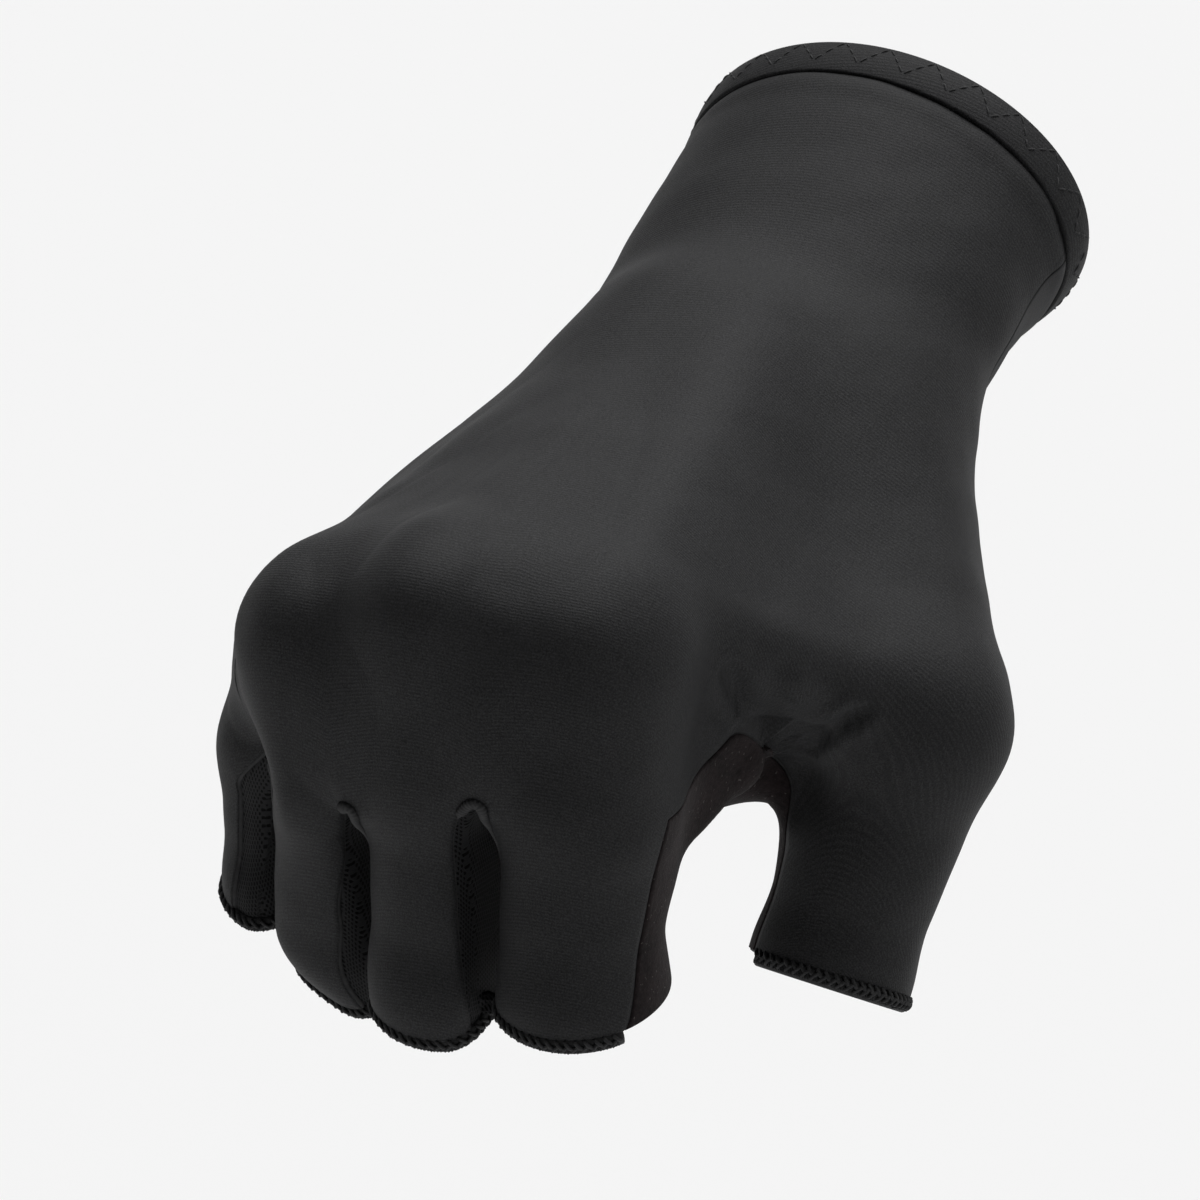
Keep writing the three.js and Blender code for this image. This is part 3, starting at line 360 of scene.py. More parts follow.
def rim_loops(tris):
    after = rim_next(tris)
    loops = []
    while after:
        start, at = next(iter(after.items()))
        loop = [start]
        del after[start]
        while at != start and at in after:
            loop.append(at)
            at = after.pop(at)
        loops.append(np.array(loop))
    return sorted(loops, key=len, reverse=True)


def near_sums(values, pairs):
    """For each point the sum of the values at the points linked to it."""
    out = np.zeros_like(values)
    for k in (0, 1):
        np.add.at(out, pairs[:, k], values[pairs[:, 1 - k]])
    return out


def rim_parts(n, tris):
    """The linked pairs of points, which pairs lie on the rim, and which of the n points do."""
    _, pairs, _, count = edges_of(tris)
    rim = np.zeros(n, bool)
    rim[pairs[count == 1].reshape(-1)] = True
    return pairs, count == 1, rim


# A rim turns a corner where it bends by more than 50 degrees
CORNER = math.cos(math.radians(50))


def refine(points, tris):
    """Splits each triangle in four, with points evened out inside the sheet and smooth curves on its rim."""
    _, uniq, inv, count = edges_of(tris)
    n = len(points)
    inner = count == 2
    opposite = np.concatenate([tris[:, 2], tris[:, 0], tris[:, 1]])
    sums = np.zeros((len(uniq), 3))
    np.add.at(sums, inv, points[opposite])
    mids = points[uniq].mean(1)
    mids[inner] = points[uniq[inner]].sum(1) * 0.375 + sums[inner] * 0.125
    near, valence = near_sums(points, uniq), near_sums(np.ones(n), uniq)
    share = np.where(valence == 3, 3 / 16, 0.375 / np.maximum(valence, 1))
    moved = points * (1 - valence * share)[:, None] + near * share[:, None]
    on_rim = np.zeros(n, bool)
    on_rim[uniq[~inner].reshape(-1)] = True
    moved[on_rim] = points[on_rim]
    after = rim_next(tris)
    before = {b: a for a, b in after.items()}
    rim_id = {tuple(sorted(u)): i for i, u in zip(np.nonzero(~inner)[0].tolist(), uniq[~inner].tolist())}

    def reach_on(a, b, c):
        """The point past b, or a straight run on where the rim turns a corner at b."""
        if c is None:
            return 2 * points[b] - points[a]
        u, v = points[b] - points[a], points[c] - points[b]
        bend = u @ v / max(np.linalg.norm(u) * np.linalg.norm(v), 1e-9)
        return points[c] if bend > CORNER else 2 * points[b] - points[a]

    for a, b in after.items():
        i = rim_id[tuple(sorted((a, b)))]
        p0, p3 = reach_on(b, a, before.get(a)), reach_on(a, b, after.get(b))
        mids[i] = (points[a] + points[b]) * 9 / 16 - (p0 + p3) / 16
    m = len(tris)
    ab, bc, ca = (n + inv[k * m:(k + 1) * m] for k in range(3))
    a, b, c = tris.T
    out = np.concatenate([np.stack(t, 1) for t in ((a, ab, ca), (ab, b, bc), (ca, bc, c), (ab, bc, ca))])
    return np.concatenate([moved, mids]), out


def relax(points, tris, rounds, share=0.6):
    """Evens out the points inside a sheet and keeps them on the plain form."""
    pairs, _, rim = rim_parts(len(points), tris)
    number = np.maximum(near_sums(np.ones(len(points)), pairs), 1)[:, None]
    for _ in range(rounds):
        to = points + (near_sums(points, pairs) / number - points) * share
        to[rim] = points[rim]
        points = onto(to, 1)
    return points


# Camera: turn about the upright, height angle and roll in degrees, distance, focal length and the place of
# the origin in a picture of 1200 pixels
CAMERA = dict(azimuth=29.31, height=34.42, roll=-2.01, distance=900.0, focal=6255.0,
              origin=(893.16, 187.11), picture=1200)


def camera_axes():
    """Directions to the right, up and backwards of the camera."""
    a, e, r = (math.radians(CAMERA[key]) for key in ("azimuth", "height", "roll"))
    right = vec(math.cos(a), math.sin(a), 0)
    back = vec(math.sin(a) * math.cos(e), -math.cos(a) * math.cos(e), math.sin(e))
    up = np.cross(back, right)
    return math.cos(r) * right + math.sin(r) * up, math.cos(r) * up - math.sin(r) * right, back


RIGHT, UP, BACK = camera_axes()

# Where the seams lie beside those of the plain form: place, and the way right and up in the camera's view
SEAM_SHIFTS = [
    ((-23.2, -143.6, -17.9), 2.6, 3.7),
    ((-5.0, -149.7, -10.6), 1.3, -1.7),
    ((14.0, -149.0, -6.0), 0.5, -0.2),
    ((-6.6, -146.7, -31.6), -1.9, 0),
    ((-6.0, -146.7, -40.1), -2.9, 0),
    ((-5.3, -146.5, -46.4), -2.6, 0),
    ((-3.1, -145.9, -31.0), 0, 0),
    ((-2.9, -146.9, -38.2), 0, 0),
    ((11.3, -151.0, -20.5), 0.5, 0),
    ((12.4, -152.8, -33.0), 1.6, 0),
    ((13.1, -153.8, -41.2), 2.6, 0),
    ((15.7, -145.6, -26.1), 0, 0),
    ((15.9, -147.3, -34.0), 0, 0),
    ((14.1, -147.7, -40.3), 1.0, 0),
    ((34.5, -102.7, -29.0), -0.6, 0),
    ((35.0, -103.6, -33.0), -1.8, 0),
    ((35.7, -105.1, -35.8), -2.2, 0),
    ((35.5, -107.8, -41.6), -2.4, 0),
    ((34.9, -110.1, -45.4), -2.0, 0),
    ((34.4, -112.1, -48.7), -1.4, 0),
]
# The same for the cloth itself, along the ring finger's outline
CLOTH_SHIFTS = [
    ((-22.0, -145.5, -8.0), 1.4, 0),
    ((-22.5, -145.1, -16.2), 3.4, 0),
    ((-20.8, -145.8, -21.5), 1.9, 0),
    ((-19.7, -144.9, -29.0), 0, 0),
    ((-18.4, -144.5, -36.1), -1.4, 0),
    ((-18.6, -143.9, -42.0), -1.5, 0),
    ((-17.8, -145.6, -47.2), 0.3, 0),
    ((-16.2, -146.7, -49.5), 2.2, 0),
]


def shift_field(rows, reach):
    """A smooth field of shifts that has each row's shift at its place."""
    places = np.array([place for place, _, _ in rows])
    by = np.array([right * RIGHT + up * UP for _, right, up in rows])
    gap = lengths(places[:, None] - places[None])
    weights = np.linalg.solve(np.exp(-(gap / reach) ** 2) + 0.02 * np.eye(len(rows)), by)

    def field(p):
        far = lengths(p[:, None] - places[None])
        return np.exp(-(far / reach) ** 2) @ weights

    return field


seam_shift = shift_field(SEAM_SHIFTS, 6.0)
cloth_shift = shift_field(CLOTH_SHIFTS, 8.0)

# Valleys between the knuckles that the taut cloth bridges, and how far it is free on both sides of each.
# Rows: how far the slit's top stands off the plain form, and a line from that top upwards
VALLEY_REACH = 16.0
VALLEYS = [
    (1.0, [(14.6, -149.0, -6.0), (14.0, -146.7, 3.0), (14.0, -145.8, 8.0), (14.0, -138.0, 17.0),
           (13.0, -120.0, 19.0), (9.0, -105.0, 18.0)]),
    (1.2, [(-4.3, -149.9, -11.7), (-6.5, -148.6, -3.0), (-7.0, -147.2, 8.0), (-7.5, -140.0, 14.5),
           (-6.5, -125.0, 15.0), (-4.0, -110.0, 16.0)]),
    (1.8, [(-21.0, -146.0, -14.0), (-24.0, -140.0, -6.0), (-25.0, -132.0, -1.0), (-22.0, -120.0, 3.0),
           (-15.0, -105.0, 8.0)]),
]


def beside_line(p, line):
    """For points beside a line: distance, the line's direction, and places across and along it."""
    best = np.full(len(p), FAR)
    way = np.zeros_like(p)
    uv = np.zeros((len(p), 2))
    run = 0.0
    line = [vec(q) for q in line]
    for a, b in zip(line[:-1], line[1:]):
        ba = b - a
        length = np.linalg.norm(ba)
        t = (p - a) @ ba / (ba @ ba)
        part = np.clip(t, 0, 1)
        beside = p - a - part[:, None] * ba
        d = lengths(beside)
        near = d < best
        across = np.sign(beside[:, 0]) * lengths(beside - (t - part)[:, None] * ba)
        way[near] = unit(ba)
        uv[near] = np.stack([across, run + t * length], 1)[near]
        best = np.minimum(best, d)
        run += length
    return best, way, uv


def rounded_slits(points, tris, rounds=14, reach=5.0):
    """Rounds the rim of a sheet at the tops of the slits into arches."""
    for loop in rim_loops(tris):
        ring = points[loop]
        for _, line in VALLEYS:
            away = lengths(ring - vec(line[0]))
            if away.min() > 3.0:
                continue
            peak = int(np.argmin(away))
            old = ring[peak].copy()
            share = (1 - ease(away / reach))[:, None]
            for _ in range(rounds):
                ring = ring + ((np.roll(ring, 1, 0) + np.roll(ring, -1, 0)) / 2 - ring) * share * 0.5
            ring = ring + (old - ring[peak]) * share
        points[loop] = ring
    return points


# Rounds in which the directions out of the cloth are evened out, and in which it is drawn tight
EVEN_ROUNDS, TAUT_ROUNDS = 40, 450


def taut(points, tris):
    """How far the cloth stands off the plain form where it is drawn tight across the valleys."""
    pairs, _, rim = rim_parts(len(points), tris)
    n = outward(points)
    for _ in range(EVEN_ROUNDS):
        n = units(n + near_sums(n, pairs))
    free, lift = np.zeros((2, len(points)))
    way = np.zeros_like(points)
    near_line = np.full(len(points), FAR)
    for height, line in VALLEYS:
        d, w, _ = beside_line(points, line)
        free = np.maximum(free, 1 - ease(d / VALLEY_REACH * 2 - 1))
        way[d < near_line] = w[d < near_line]
        near_line = np.minimum(near_line, d)
        lift = np.maximum(lift, height * (1 - ease(lengths(points - vec(line[0])) / 6.0)))
    free[rim] = 0
    h = np.where(rim, lift, 0.0)
    ids = np.nonzero(free > 0)[0]
    both = np.concatenate([pairs, pairs[:, ::-1]])
    both = both[free[both[:, 0]] > 0]
    along = dots(units(points[both[:, 1]] - points[both[:, 0]]), way[both[:, 0]])
    pull = (1 - along ** 2) ** 3 + 0.04
    total = np.bincount(both[:, 0], pull, len(points))
    for _ in range(TAUT_ROUNDS):
        at = points + n * h[:, None]
        near = np.zeros_like(points)
        np.add.at(near, both[:, 0], at[both[:, 1]] * pull[:, None])
        mean = near[ids] / total[ids][:, None]
        h[ids] = np.maximum(h[ids] + dots(mean - at[ids], n[ids]) * free[ids], 0)
    return n * h[:, None]


# Places where the cloth runs on without a sharp bend: place, reach and rounds of smoothing
SOFT = [((34.0, -103.5, -22.0), 9.0, 35), ((33.8, -114.8, -11.0), 5.0, 40)]


def softened(points, tris):
    """Evens out a sheet around the soft places, inside it and along its rim."""
    points = points.copy()
    pairs, on_rim, rim = rim_parts(len(points), tris)
    for place, reach, rounds in SOFT:
        share = 1 - ease(lengths(points - vec(place)) / reach)
        parts = []
        for links, mine in ((pairs, ~rim), (pairs[on_rim], rim)):
            both = np.concatenate([links, links[:, ::-1]])
            parts.append(both[mine[both[:, 0]] & (share[both[:, 0]] > 0)])
        both = np.concatenate(parts)
        ids = np.unique(both[:, 0])
        if not len(ids):
            continue
        number = np.bincount(both[:, 0], minlength=len(points))[ids][:, None]
        for _ in range(rounds):
            near = np.zeros_like(points)
            np.add.at(near, both[:, 0], points[both[:, 1]])
            points[ids] += (near[ids] / number - points[ids]) * share[ids][:, None] * 0.7
    return points


def fine_sheet(name, rounds):
    """A cloth node's outer face in small triangles: plain points, triangles, points of the taut cloth."""
    points, tris = outer_face(name)
    points = onto(points + seam_shift(points), 3)
    for k in (0, 1):
        points, tris = refine(points, tris)
        if k:
            points = rounded_slits(points, tris)
        points = relax(onto(points, 2), tris, rounds[k])
    bridged = name == "back_panel"
    if bridged:
        off = taut(points, tris)
        raised = refine(points + off, tris)[0]
        share = ease(lengths(refine(off, tris)[0]) / 0.35)[:, None]
    points, tris = refine(points, tris)
    points = onto(points, 1)
    shown = points * (1 - share) + raised * share if bridged else points
    return points, tris, softened(shown, tris)


# Creases and folds of the worn cloth: half width, depth, below zero for a ridge, and line through points
CREASES = [
    (1.2, 1.3, [(35.2, -119.5, 1.0), (34.6, -116.8, -3.5), (34.3, -110.0, -12.8), (34.6, -105.0, -18.7)]),
    (1.2, 1.3, [(46.5, -104.9, -11.5), (43.6, -105.5, -13.9), (39.5, -104.5, -17.9), (35.8, -103.3, -21.7)]),
    (1.6, -0.8, [(41.0, -112.5, -3.5), (38.6, -108.8, -9.5), (36.1, -104.8, -16.0)]),
    (2.0, 0.5, [(34.8, -102.6, -22.7), (34.7, -102.6, -27.2), (35.0, -103.2, -31.1)]),
]


# Soft bumps under the cloth: place, half width and height
BUMPS = [
    ((5.0, -145.5, 19.5), 7.0, 0.9),
    ((31.0, -108.0, -25.5), 5.0, 0.9),
    ((-28.5, -133.5, -6.0), 7.0, 1.3),
    ((36.0, -104.5, -18.0), 5.0, -1.4),
    ((35.8, -102.8, -25.5), 5.5, -3.0),
]


def creased(p):
    """How far the worn cloth lies off its plain form at points, outwards."""
    d = np.zeros(len(p))
    for place, half, height in BUMPS:
        d += height * np.exp(-(lengths(p - vec(place)) / half) ** 2)
    for half, depth, line in CREASES:
        x = beside_line(p, line)[0] / half
        d -= depth * (np.exp(-x * x) - 0.35 * np.exp(-(x - 2) ** 2 * 1.5))
    return d


def rumpled(p, amount):
    """Low soft unevenness of stretched cloth."""
    rng = np.random.default_rng(7)
    d = np.zeros(len(p))
    for wave in (26.0, 17.0, 11.0, 7.0):
        for _ in range(3):
            k = unit(rng.normal(size=3)) * 2 * math.pi / wave
            d += np.sin(p @ k + rng.uniform(0, 6.28)) * wave / 26.0 / 3
    return d * amount


def to_mesh(name, points, tris, uv=None):
    me = bpy.data.meshes.new(name)
    me.from_pydata((points * MM).tolist(), [], tris.tolist())
    me.shade_smooth()
    if uv is not None:
        layer = me.uv_layers.new(name="cloth")
        layer.data.foreach_set("uv", uv[tris.reshape(-1)].astype(np.float32).reshape(-1))
    me.validate()
    obj = bpy.data.objects.new(name, me)
    bpy.context.scene.collection.objects.link(obj)
    return obj


def deselect():
    for o in bpy.context.selected_objects:
        o.select_set(False)


def thicken(obj, wall):
    """Gives a sheet its cloth wall, inwards from its outer face."""
    deselect()
    obj.select_set(True)
    bpy.context.view_layer.objects.active = obj
    mod = obj.modifiers.new("wall", "SOLIDIFY")
    mod.thickness = wall * MM
    mod.offset = -1
    mod.use_rim = True
    mod.use_even_offset = False
    bpy.ops.object.modifier_apply(modifier=mod.name)


def finish_piece(obj, material, slot, *nodes):
    """Gives a piece its material and says what it rides on and the nodes it stands for; its slot is not used.
    """
    obj.data.materials.clear()
    obj.data.materials.append(material)
    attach(obj, "root")
    if nodes:
        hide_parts(*nodes)


def along_hand(p):
    """Place along the cloth from the wrist over the knuckles and down the fingers."""
    return -p[:, 1] + ease((-p[:, 1] - 105) / 40) * (21 - p[:, 2])


# Edges: paths along the rims and the hems
def finger_end(name):
    """Middle, direction along, back and across at the hem of a digit."""
    if name == "thumb":
        along = unit(THUMB["tip"] - THUMB["joint"])
        place = THUMB["joint"] + along * THUMB["hem"]
        back = off_axis(vec(0.3, -0.85, 0.42), along)
    else:
        f = FINGERS[name]
        along, place = f["hem_along"], f["hem_at"]
        back = off_axis(f["back"], along)
    across = np.cross(back, along)
    if across[0] < 0:
        across = -across
    return place, along, back, across


def hem_path(name, start, end, count=400):
    """Points around the end of a digit's cloth, with the directions along the digit and out of the cloth."""
    place, along, back, across = finger_end(name)
    field = thumb_form if name == "thumb" else (lambda p: finger_form(p, name))
    deg = np.radians(np.linspace(start, end, count))
    dirs = np.cos(deg)[:, None] * back + np.sin(deg)[:, None] * across
    t = np.zeros(count)
    for _ in range(40):
        t -= field(place + dirs * t[:, None]) * 0.9
    p = onto(place + dirs * t[:, None], 3)
    n = outward(p)
    return p, np.tile(along, (count, 1)), units(n - (n @ along)[:, None] * along)


def tangents(p, closed=False):
    return units(np.roll(p, -1, 0) - np.roll(p, 1, 0) if closed else np.gradient(p, axis=0))


def resample(p, step, closed=False):
    q = np.vstack([p, p[:1]]) if closed else p
    s = np.concatenate([[0], np.cumsum(lengths(np.diff(q, axis=0)))])
    count = max(int(round(s[-1] / step)), 2)
    at = np.linspace(0, s[-1], count + 1)
    if closed:
        at = at[:-1]
    return np.stack([np.interp(at, s, q[:, k]) for k in range(3)], 1)


def tube(middle, one, two, half_one, half_two, sides):
    """Closed rows of points around a path, with half widths along the directions one and two."""
    turn = (np.arange(sides) * 2 * math.pi / sides)[:, None]
    around = one[:, None] * (half_one * np.cos(turn)) + two[:, None] * (half_two * np.sin(turn))
    return middle[:, None] + around


def sweep(rows):
    """A closed skin over rows of points, each row a closed profile. Returns points and triangles."""
    n, m = rows.shape[:2]
    ids = np.arange(n * m).reshape(n, m)
    beside = np.roll(ids, -1, 1)
    a, b, c, d = ids[:-1], beside[:-1], beside[1:], ids[1:]
    k = np.arange(1, m - 1)
    tris = np.concatenate([
        np.stack([a, b, c], -1).reshape(-1, 3), np.stack([a, c, d], -1).reshape(-1, 3),
        np.stack([np.full_like(k, ids[0, 0]), ids[0, k + 1], ids[0, k]], 1),
        np.stack([np.full_like(k, ids[-1, 0]), ids[-1, k], ids[-1, k + 1]], 1)])
    points = rows.reshape(-1, 3)
    a, b, c = (points[tris[:, k]] for k in range(3))
    if dots(a, np.cross(b, c)).sum() < 0:
        tris = tris[:, ::-1]
    return points, tris


def strands(paths, radius, sides):
    """Threads along many short paths, thinner at their ends, as one mesh."""
    parts = []
    for path in paths:
        t = tangents(path)
        u = units(np.cross(t, vec(0, 0, 1) if abs(t[0, 2]) < 0.9 else vec(1, 0, 0)))
        size = np.full((len(path), 1, 1), radius)
        size[[0, -1]] *= 0.6
        parts.append(sweep(tube(path, u, np.cross(t, u), size, size, sides)))
    return merged(parts)


def merged(parts):
    points, tris, n = [], [], 0
    for p, t in parts:
        points.append(p)
        tris.append(t + n)
        n += len(p)
    return np.concatenate(points), np.concatenate(tris)


def points_per(pitch, path, least):
    """How many points of a path make up one pitch."""
    return max(int(round(pitch / lengths(np.diff(path, axis=0)).mean())), least)


def chain(path, along, out, pitch, half, lift, rng):
    """Two rows of slanted threads that meet in the middle like a plait. half is half its width."""
    side = tangents(path)
    every = points_per(pitch, path, 2)
    paths = []
    for i in range(0, len(path) - every, every // 2 if every > 3 else every):
        way = 1 if (i // max(every // 2, 1)) % 2 else -1
        w = rng.normal(0, 0.05, 3)
        steps = np.array([
            (way * half, lift - 0.32, 0),
            (way * half * 0.8, lift + 0.02, pitch * 0.1),
            (way * half * 0.35, lift + 0.13 + w[1], pitch * 0.4),
            (-way * half * 0.15, lift + 0.1, pitch * 0.75),
            (-way * half * 0.35, lift - 0.2, pitch * 0.95),
        ])
        paths.append(path[i] + side[i] * w[0] + steps @ np.array([along[i], out[i], side[i]]))
    return smooth_paths(np.array(paths))


def wrapped(path, along, out, pitch, near, far, lift, rng):
    """Fine threads that go over an edge from the place near to the place far across it."""
    side = tangents(path)
    every = points_per(pitch, path, 1)
    paths = []
    for i in range(0, len(path) - 2 * every, every):
        w = rng.normal(0, 0.06, 4)
        steps = np.array([
            (near + w[0], lift - 0.15, 0),
            (near + (far - near) * 0.55 + w[1], lift + 0.02, pitch * 0.3),
            (far + w[2], lift * 0.1, pitch * 0.6),
            (far - 0.15, -lift * 1.3, pitch * 0.7),
        ])
        paths.append(path[i] + steps @ np.array([along[i], out[i], side[i]]))
    return smooth_paths(np.array(paths))


def smooth_paths(paths):
    """Doubles the points of each path with rounder bends."""
    out = np.empty((len(paths), 2 * paths.shape[1] - 1, 3))
    out[:, ::2] = paths
    out[:, 1::2] = (paths[:, :-1] + paths[:, 1:]) / 2
    out[:, 2:-2:2] = out[:, 2:-2:2] * 0.5 + (out[:, 1:-2:2] + out[:, 3::2]) * 0.25
    return out


# Materials
class Board:
    """The nodes of one material."""

    def __init__(self, name, colour, roughness, specular, sheen=0.0, sheen_roughness=0.5):
        self.material = bpy.data.materials.new(name)
        self.material.use_nodes = True
        self.tree = self.material.node_tree
        self.shader = self.tree.nodes["Principled BSDF"]
        self.set(self.shader, {"Base Color": (*colour, 1), "Roughness": roughness,
                               "Specular IOR Level": specular, "Sheen Weight": sheen,
                               "Sheen Roughness": sheen_roughness})

    def set(self, node, values):
        for key, value in values.items():
            if isinstance(value, bpy.types.NodeSocket):
                self.tree.links.new(value, node.inputs[key])
            else:
                node.inputs[key].default_value = value

    def add(self, kind, values=None, **settings):
        node = self.tree.nodes.new(kind)
        for key, value in settings.items():
            setattr(node, key, value)
        self.set(node, values or {})
        return node

    def math(self, operation, a, b=0.0, c=None):
        values = {0: a, 1: b}
        if c is not None:
            values[2] = c
        return self.add("ShaderNodeMath", values, operation=operation).outputs[0]

    def place(self):
        return self.add("ShaderNodeTexCoord").outputs["Object"]

    def cloth_uv(self):
        return self.add("ShaderNodeUVMap", uv_map="cloth").outputs["UV"]

    def split(self, vector):
        return self.add("ShaderNodeSeparateXYZ", {"Vector": vector}).outputs

    def noise(self, vector, scale, detail=2.0, roughness=0.5):
        return self.add("ShaderNodeTexNoise", {"Vector": vector, "Scale": scale, "Detail": detail,
                                               "Roughness": roughness}).outputs["Fac"]

    def ribs(self, u, v, across, along, pitch, warp, amount):
        """A wave from 0 to 1 over u * across + v * along, with its pitch in their units, bent by a noise."""
        s = self.math("ADD", self.math("MULTIPLY", u, across), self.math("MULTIPLY", v, along))
        s = self.math("ADD", s, self.math("MULTIPLY", self.math("SUBTRACT", warp, 0.5), amount))
        turn = self.math("MULTIPLY", s, 2 * math.pi / pitch)
        return self.math("MULTIPLY_ADD", self.math("SINE", turn), 0.5, 0.5)

    def wave(self, *args):
        """The same wave from -1 to 1."""
        return self.math("MULTIPLY_ADD", self.ribs(*args), 2.0, -1.0)

    def blend(self, share, one, two):
        node = self.add("ShaderNodeMix", data_type="RGBA")
        self.set(node, {0: share, 6: one if isinstance(one, bpy.types.NodeSocket) else (*one, 1),
                        7: two if isinstance(two, bpy.types.NodeSocket) else (*two, 1)})
        return node.outputs[2]

    def ramp(self, value, low, high):
        node = self.add("ShaderNodeMapRange", {"Value": value, "From Min": low, "From Max": high})
        return node.outputs[0]

    def shades(self, share, colour, low, high):
        """A blend of one colour's darker and lighter shades."""
        return self.blend(share, *(tuple(min(c * k, 1.0) for c in colour) for k in (low, high)))

    def done(self, colour, heights):
        """Sets the colour and bumps one over the other, from pairs of a height and its distance in metres."""
        normal = None
        for height, distance in heights:
            node = self.add("ShaderNodeBump", {"Height": height, "Distance": distance, "Strength": 1.0})
            if normal is not None:
                self.set(node, {"Normal": normal})
            normal = node.outputs["Normal"]
        self.set(self.shader, {"Base Color": colour, "Normal": normal})
        return self.material


def knit_material(looks):
    b = Board("black_knit", looks.knit, 0.6, specular=0.07)
    u, v, _ = b.split(b.cloth_uv())
    at = b.place()
    warp = b.noise(at, 240.0)
    rib = b.ribs(u, v, 0.15, 1.0, looks.rib_pitch, warp, 0.4)
    cross = b.ribs(u, v, 1.0, -0.15, looks.rib_pitch * 0.7, warp, 0.3)
    patch = b.noise(at, 60.0, 3.0, 0.6)
    grain = b.noise(at, 4600.0, roughness=0.7)
    share = b.math("MULTIPLY_ADD", patch, 0.4, b.math("MULTIPLY", rib, 0.6))
    cloth = b.shades(share, looks.knit, 0.8, 1.2)
    pits = tuple(c * 0.5 for c in looks.knit)
    return b.done(b.blend(b.ramp(grain, 0.36, 0.64), pits, cloth),
                  [(b.math("MULTIPLY_ADD", cross, 0.35, rib), 0.000016), (grain, 0.00007)])


# Places along Y in metres between which the suede darkens to the knit's black, towards the wrist
SUEDE_FADE = (-0.050, -0.038)


def suede_material(looks):
    b = Board("dark_suede", looks.suede, 0.95, specular=0.08, sheen=0.06, sheen_roughness=0.6)
    at = b.place()
    patch = b.noise(at, 140.0, 4.0, 0.65)
    grain = b.noise(at, 1500.0, 4.0, 0.7)
    nap = b.noise(at, 4200.0, roughness=0.6)
    lint = b.ramp(b.noise(at, 1900.0, 1.0, 0.4), 0.7, 0.76)
    mottle = b.ramp(b.math("MULTIPLY_ADD", grain, 0.5, b.math("MULTIPLY", patch, 0.5)), 0.35, 0.65)
    worn = b.blend(lint, b.shades(mottle, looks.suede, 0.2, 0.9), looks.lint)
    wrist = b.ramp(b.split(at)[1], *SUEDE_FADE)
    return b.done(b.blend(wrist, worn, looks.knit), [(patch, 0.0002), (grain, 0.00014), (nap, 0.00005)])


def net_material(looks):
    b = Board("black_net", looks.net, 0.7, specular=0.12)
    u, v, _ = b.split(b.cloth_uv())
    at = b.place()
    warp = b.noise(at, 300.0)
    rows = b.wave(u, v, 0.26, 0.97, looks.net_pitch * 2, warp, 0.12)
    holes = b.wave(u, v, 0.97, -0.26, looks.net_pitch * 0.7, warp, 0.12)
    net = b.ramp(b.math("MULTIPLY", rows, holes), 0.62, 0.1)
    return b.done(b.shades(net, looks.net, 0.1, 2.5), [(net, 0.00016), (b.noise(at, 3000.0), 0.00004)])


def thread_material(looks, name="black_thread", k=1.0):
    b = Board(name, [c * k for c in looks.thread], 0.65, specular=0.08)
    at = b.place()
    colour = b.shades(b.noise(at, 900.0), looks.thread, 0.6 * k, 1.5 * k)
    return b.done(colour, [(b.noise(at, 5000.0, roughness=0.7), 0.00006)])


MAKERS = {
    "knit": knit_material, "suede": suede_material, "net": net_material, "thread": thread_material,
    "edge": lambda looks: thread_material(looks, "edge_thread", 1.15),
    "pale": lambda looks: thread_material(looks, "pale_thread", 1.3),
}
MATERIALS = {}


def material(kind, looks):
    if kind not in MATERIALS:
        MATERIALS[kind] = MAKERS[kind](looks)
    return MATERIALS[kind]


# Pieces
# The cloth sheets made so far: points, triangles and outward directions
SHEETS = {}


def edge_ridge(p):
    """Groove under the cuff band and the soft ridge below it."""
    y = p[:, 1]
    return 0.35 * np.exp(-((y + 8.6) / 1.8) ** 2) - 0.35 * np.exp(-((y + 5.6) / 0.7) ** 2)


# Lines down the middle of the net strips, from the slit's top to the hem
NET_LINES = {
    "index_middle_gusset": [(14.0, -149.0, -6.0), (13.5, -148.5, -24.0), (13.5, -150.0, -41.0)],
    "middle_ring_gusset": [(-4.5, -149.7, -10.6), (-4.8, -146.5, -31.0), (-4.5, -146.5, -46.0)],
    "ring_little_gusset": [(-22.0, -144.0, -17.9), (-23.5, -140.5, -33.0), (-24.5, -140.3, -47.0)],
}


def under_neighbours(points, tris, normal, reach):
    """Moves the rim of a sheet outwards by reach, under the cloth beside it."""
    points = points.copy()
    for loop in rim_loops(tris):
        side = np.cross(tangents(points[loop], closed=True), normal[loop])
        points[loop] += side * reach - normal[loop] * 0.15
    return points


def panel_uv(p):
    return np.stack([p[:, 0], along_hand(p)], 1)


def worn(sizes, share=1.0):
    """How far a panel stands off the plain form: its creases, its unevenness and its edge at the cuff."""
    return lambda p: creased(p) + rumpled(p, sizes.rumple / MM * share) + edge_ridge(p)


def panel_piece(name, wall, rounds, extra, uv_of, reach=0.0):
    plain, tris, points = fine_sheet(name, rounds)
    normal = outward(plain)
    points = points + normal * extra(plain)[:, None]
    if reach:
        points = under_neighbours(points, tris, normal, reach)
    points = points + cloth_shift(points)
    SHEETS[name] = (points, tris, normal)
    obj = to_mesh(name.replace("panel", "cloth").replace("gusset", "net"), points, tris, uv_of(plain))
    thicken(obj, wall)
    return obj, area_of(points, tris)


def area_of(points, tris):
    a, b, c = (points[tris[:, k]] for k in range(3))
    return lengths(np.cross(b - a, c - a)).sum() / 2 * MM * MM


def nearest(points, place):
    return int(np.argmin(lengths(points - vec(place))))


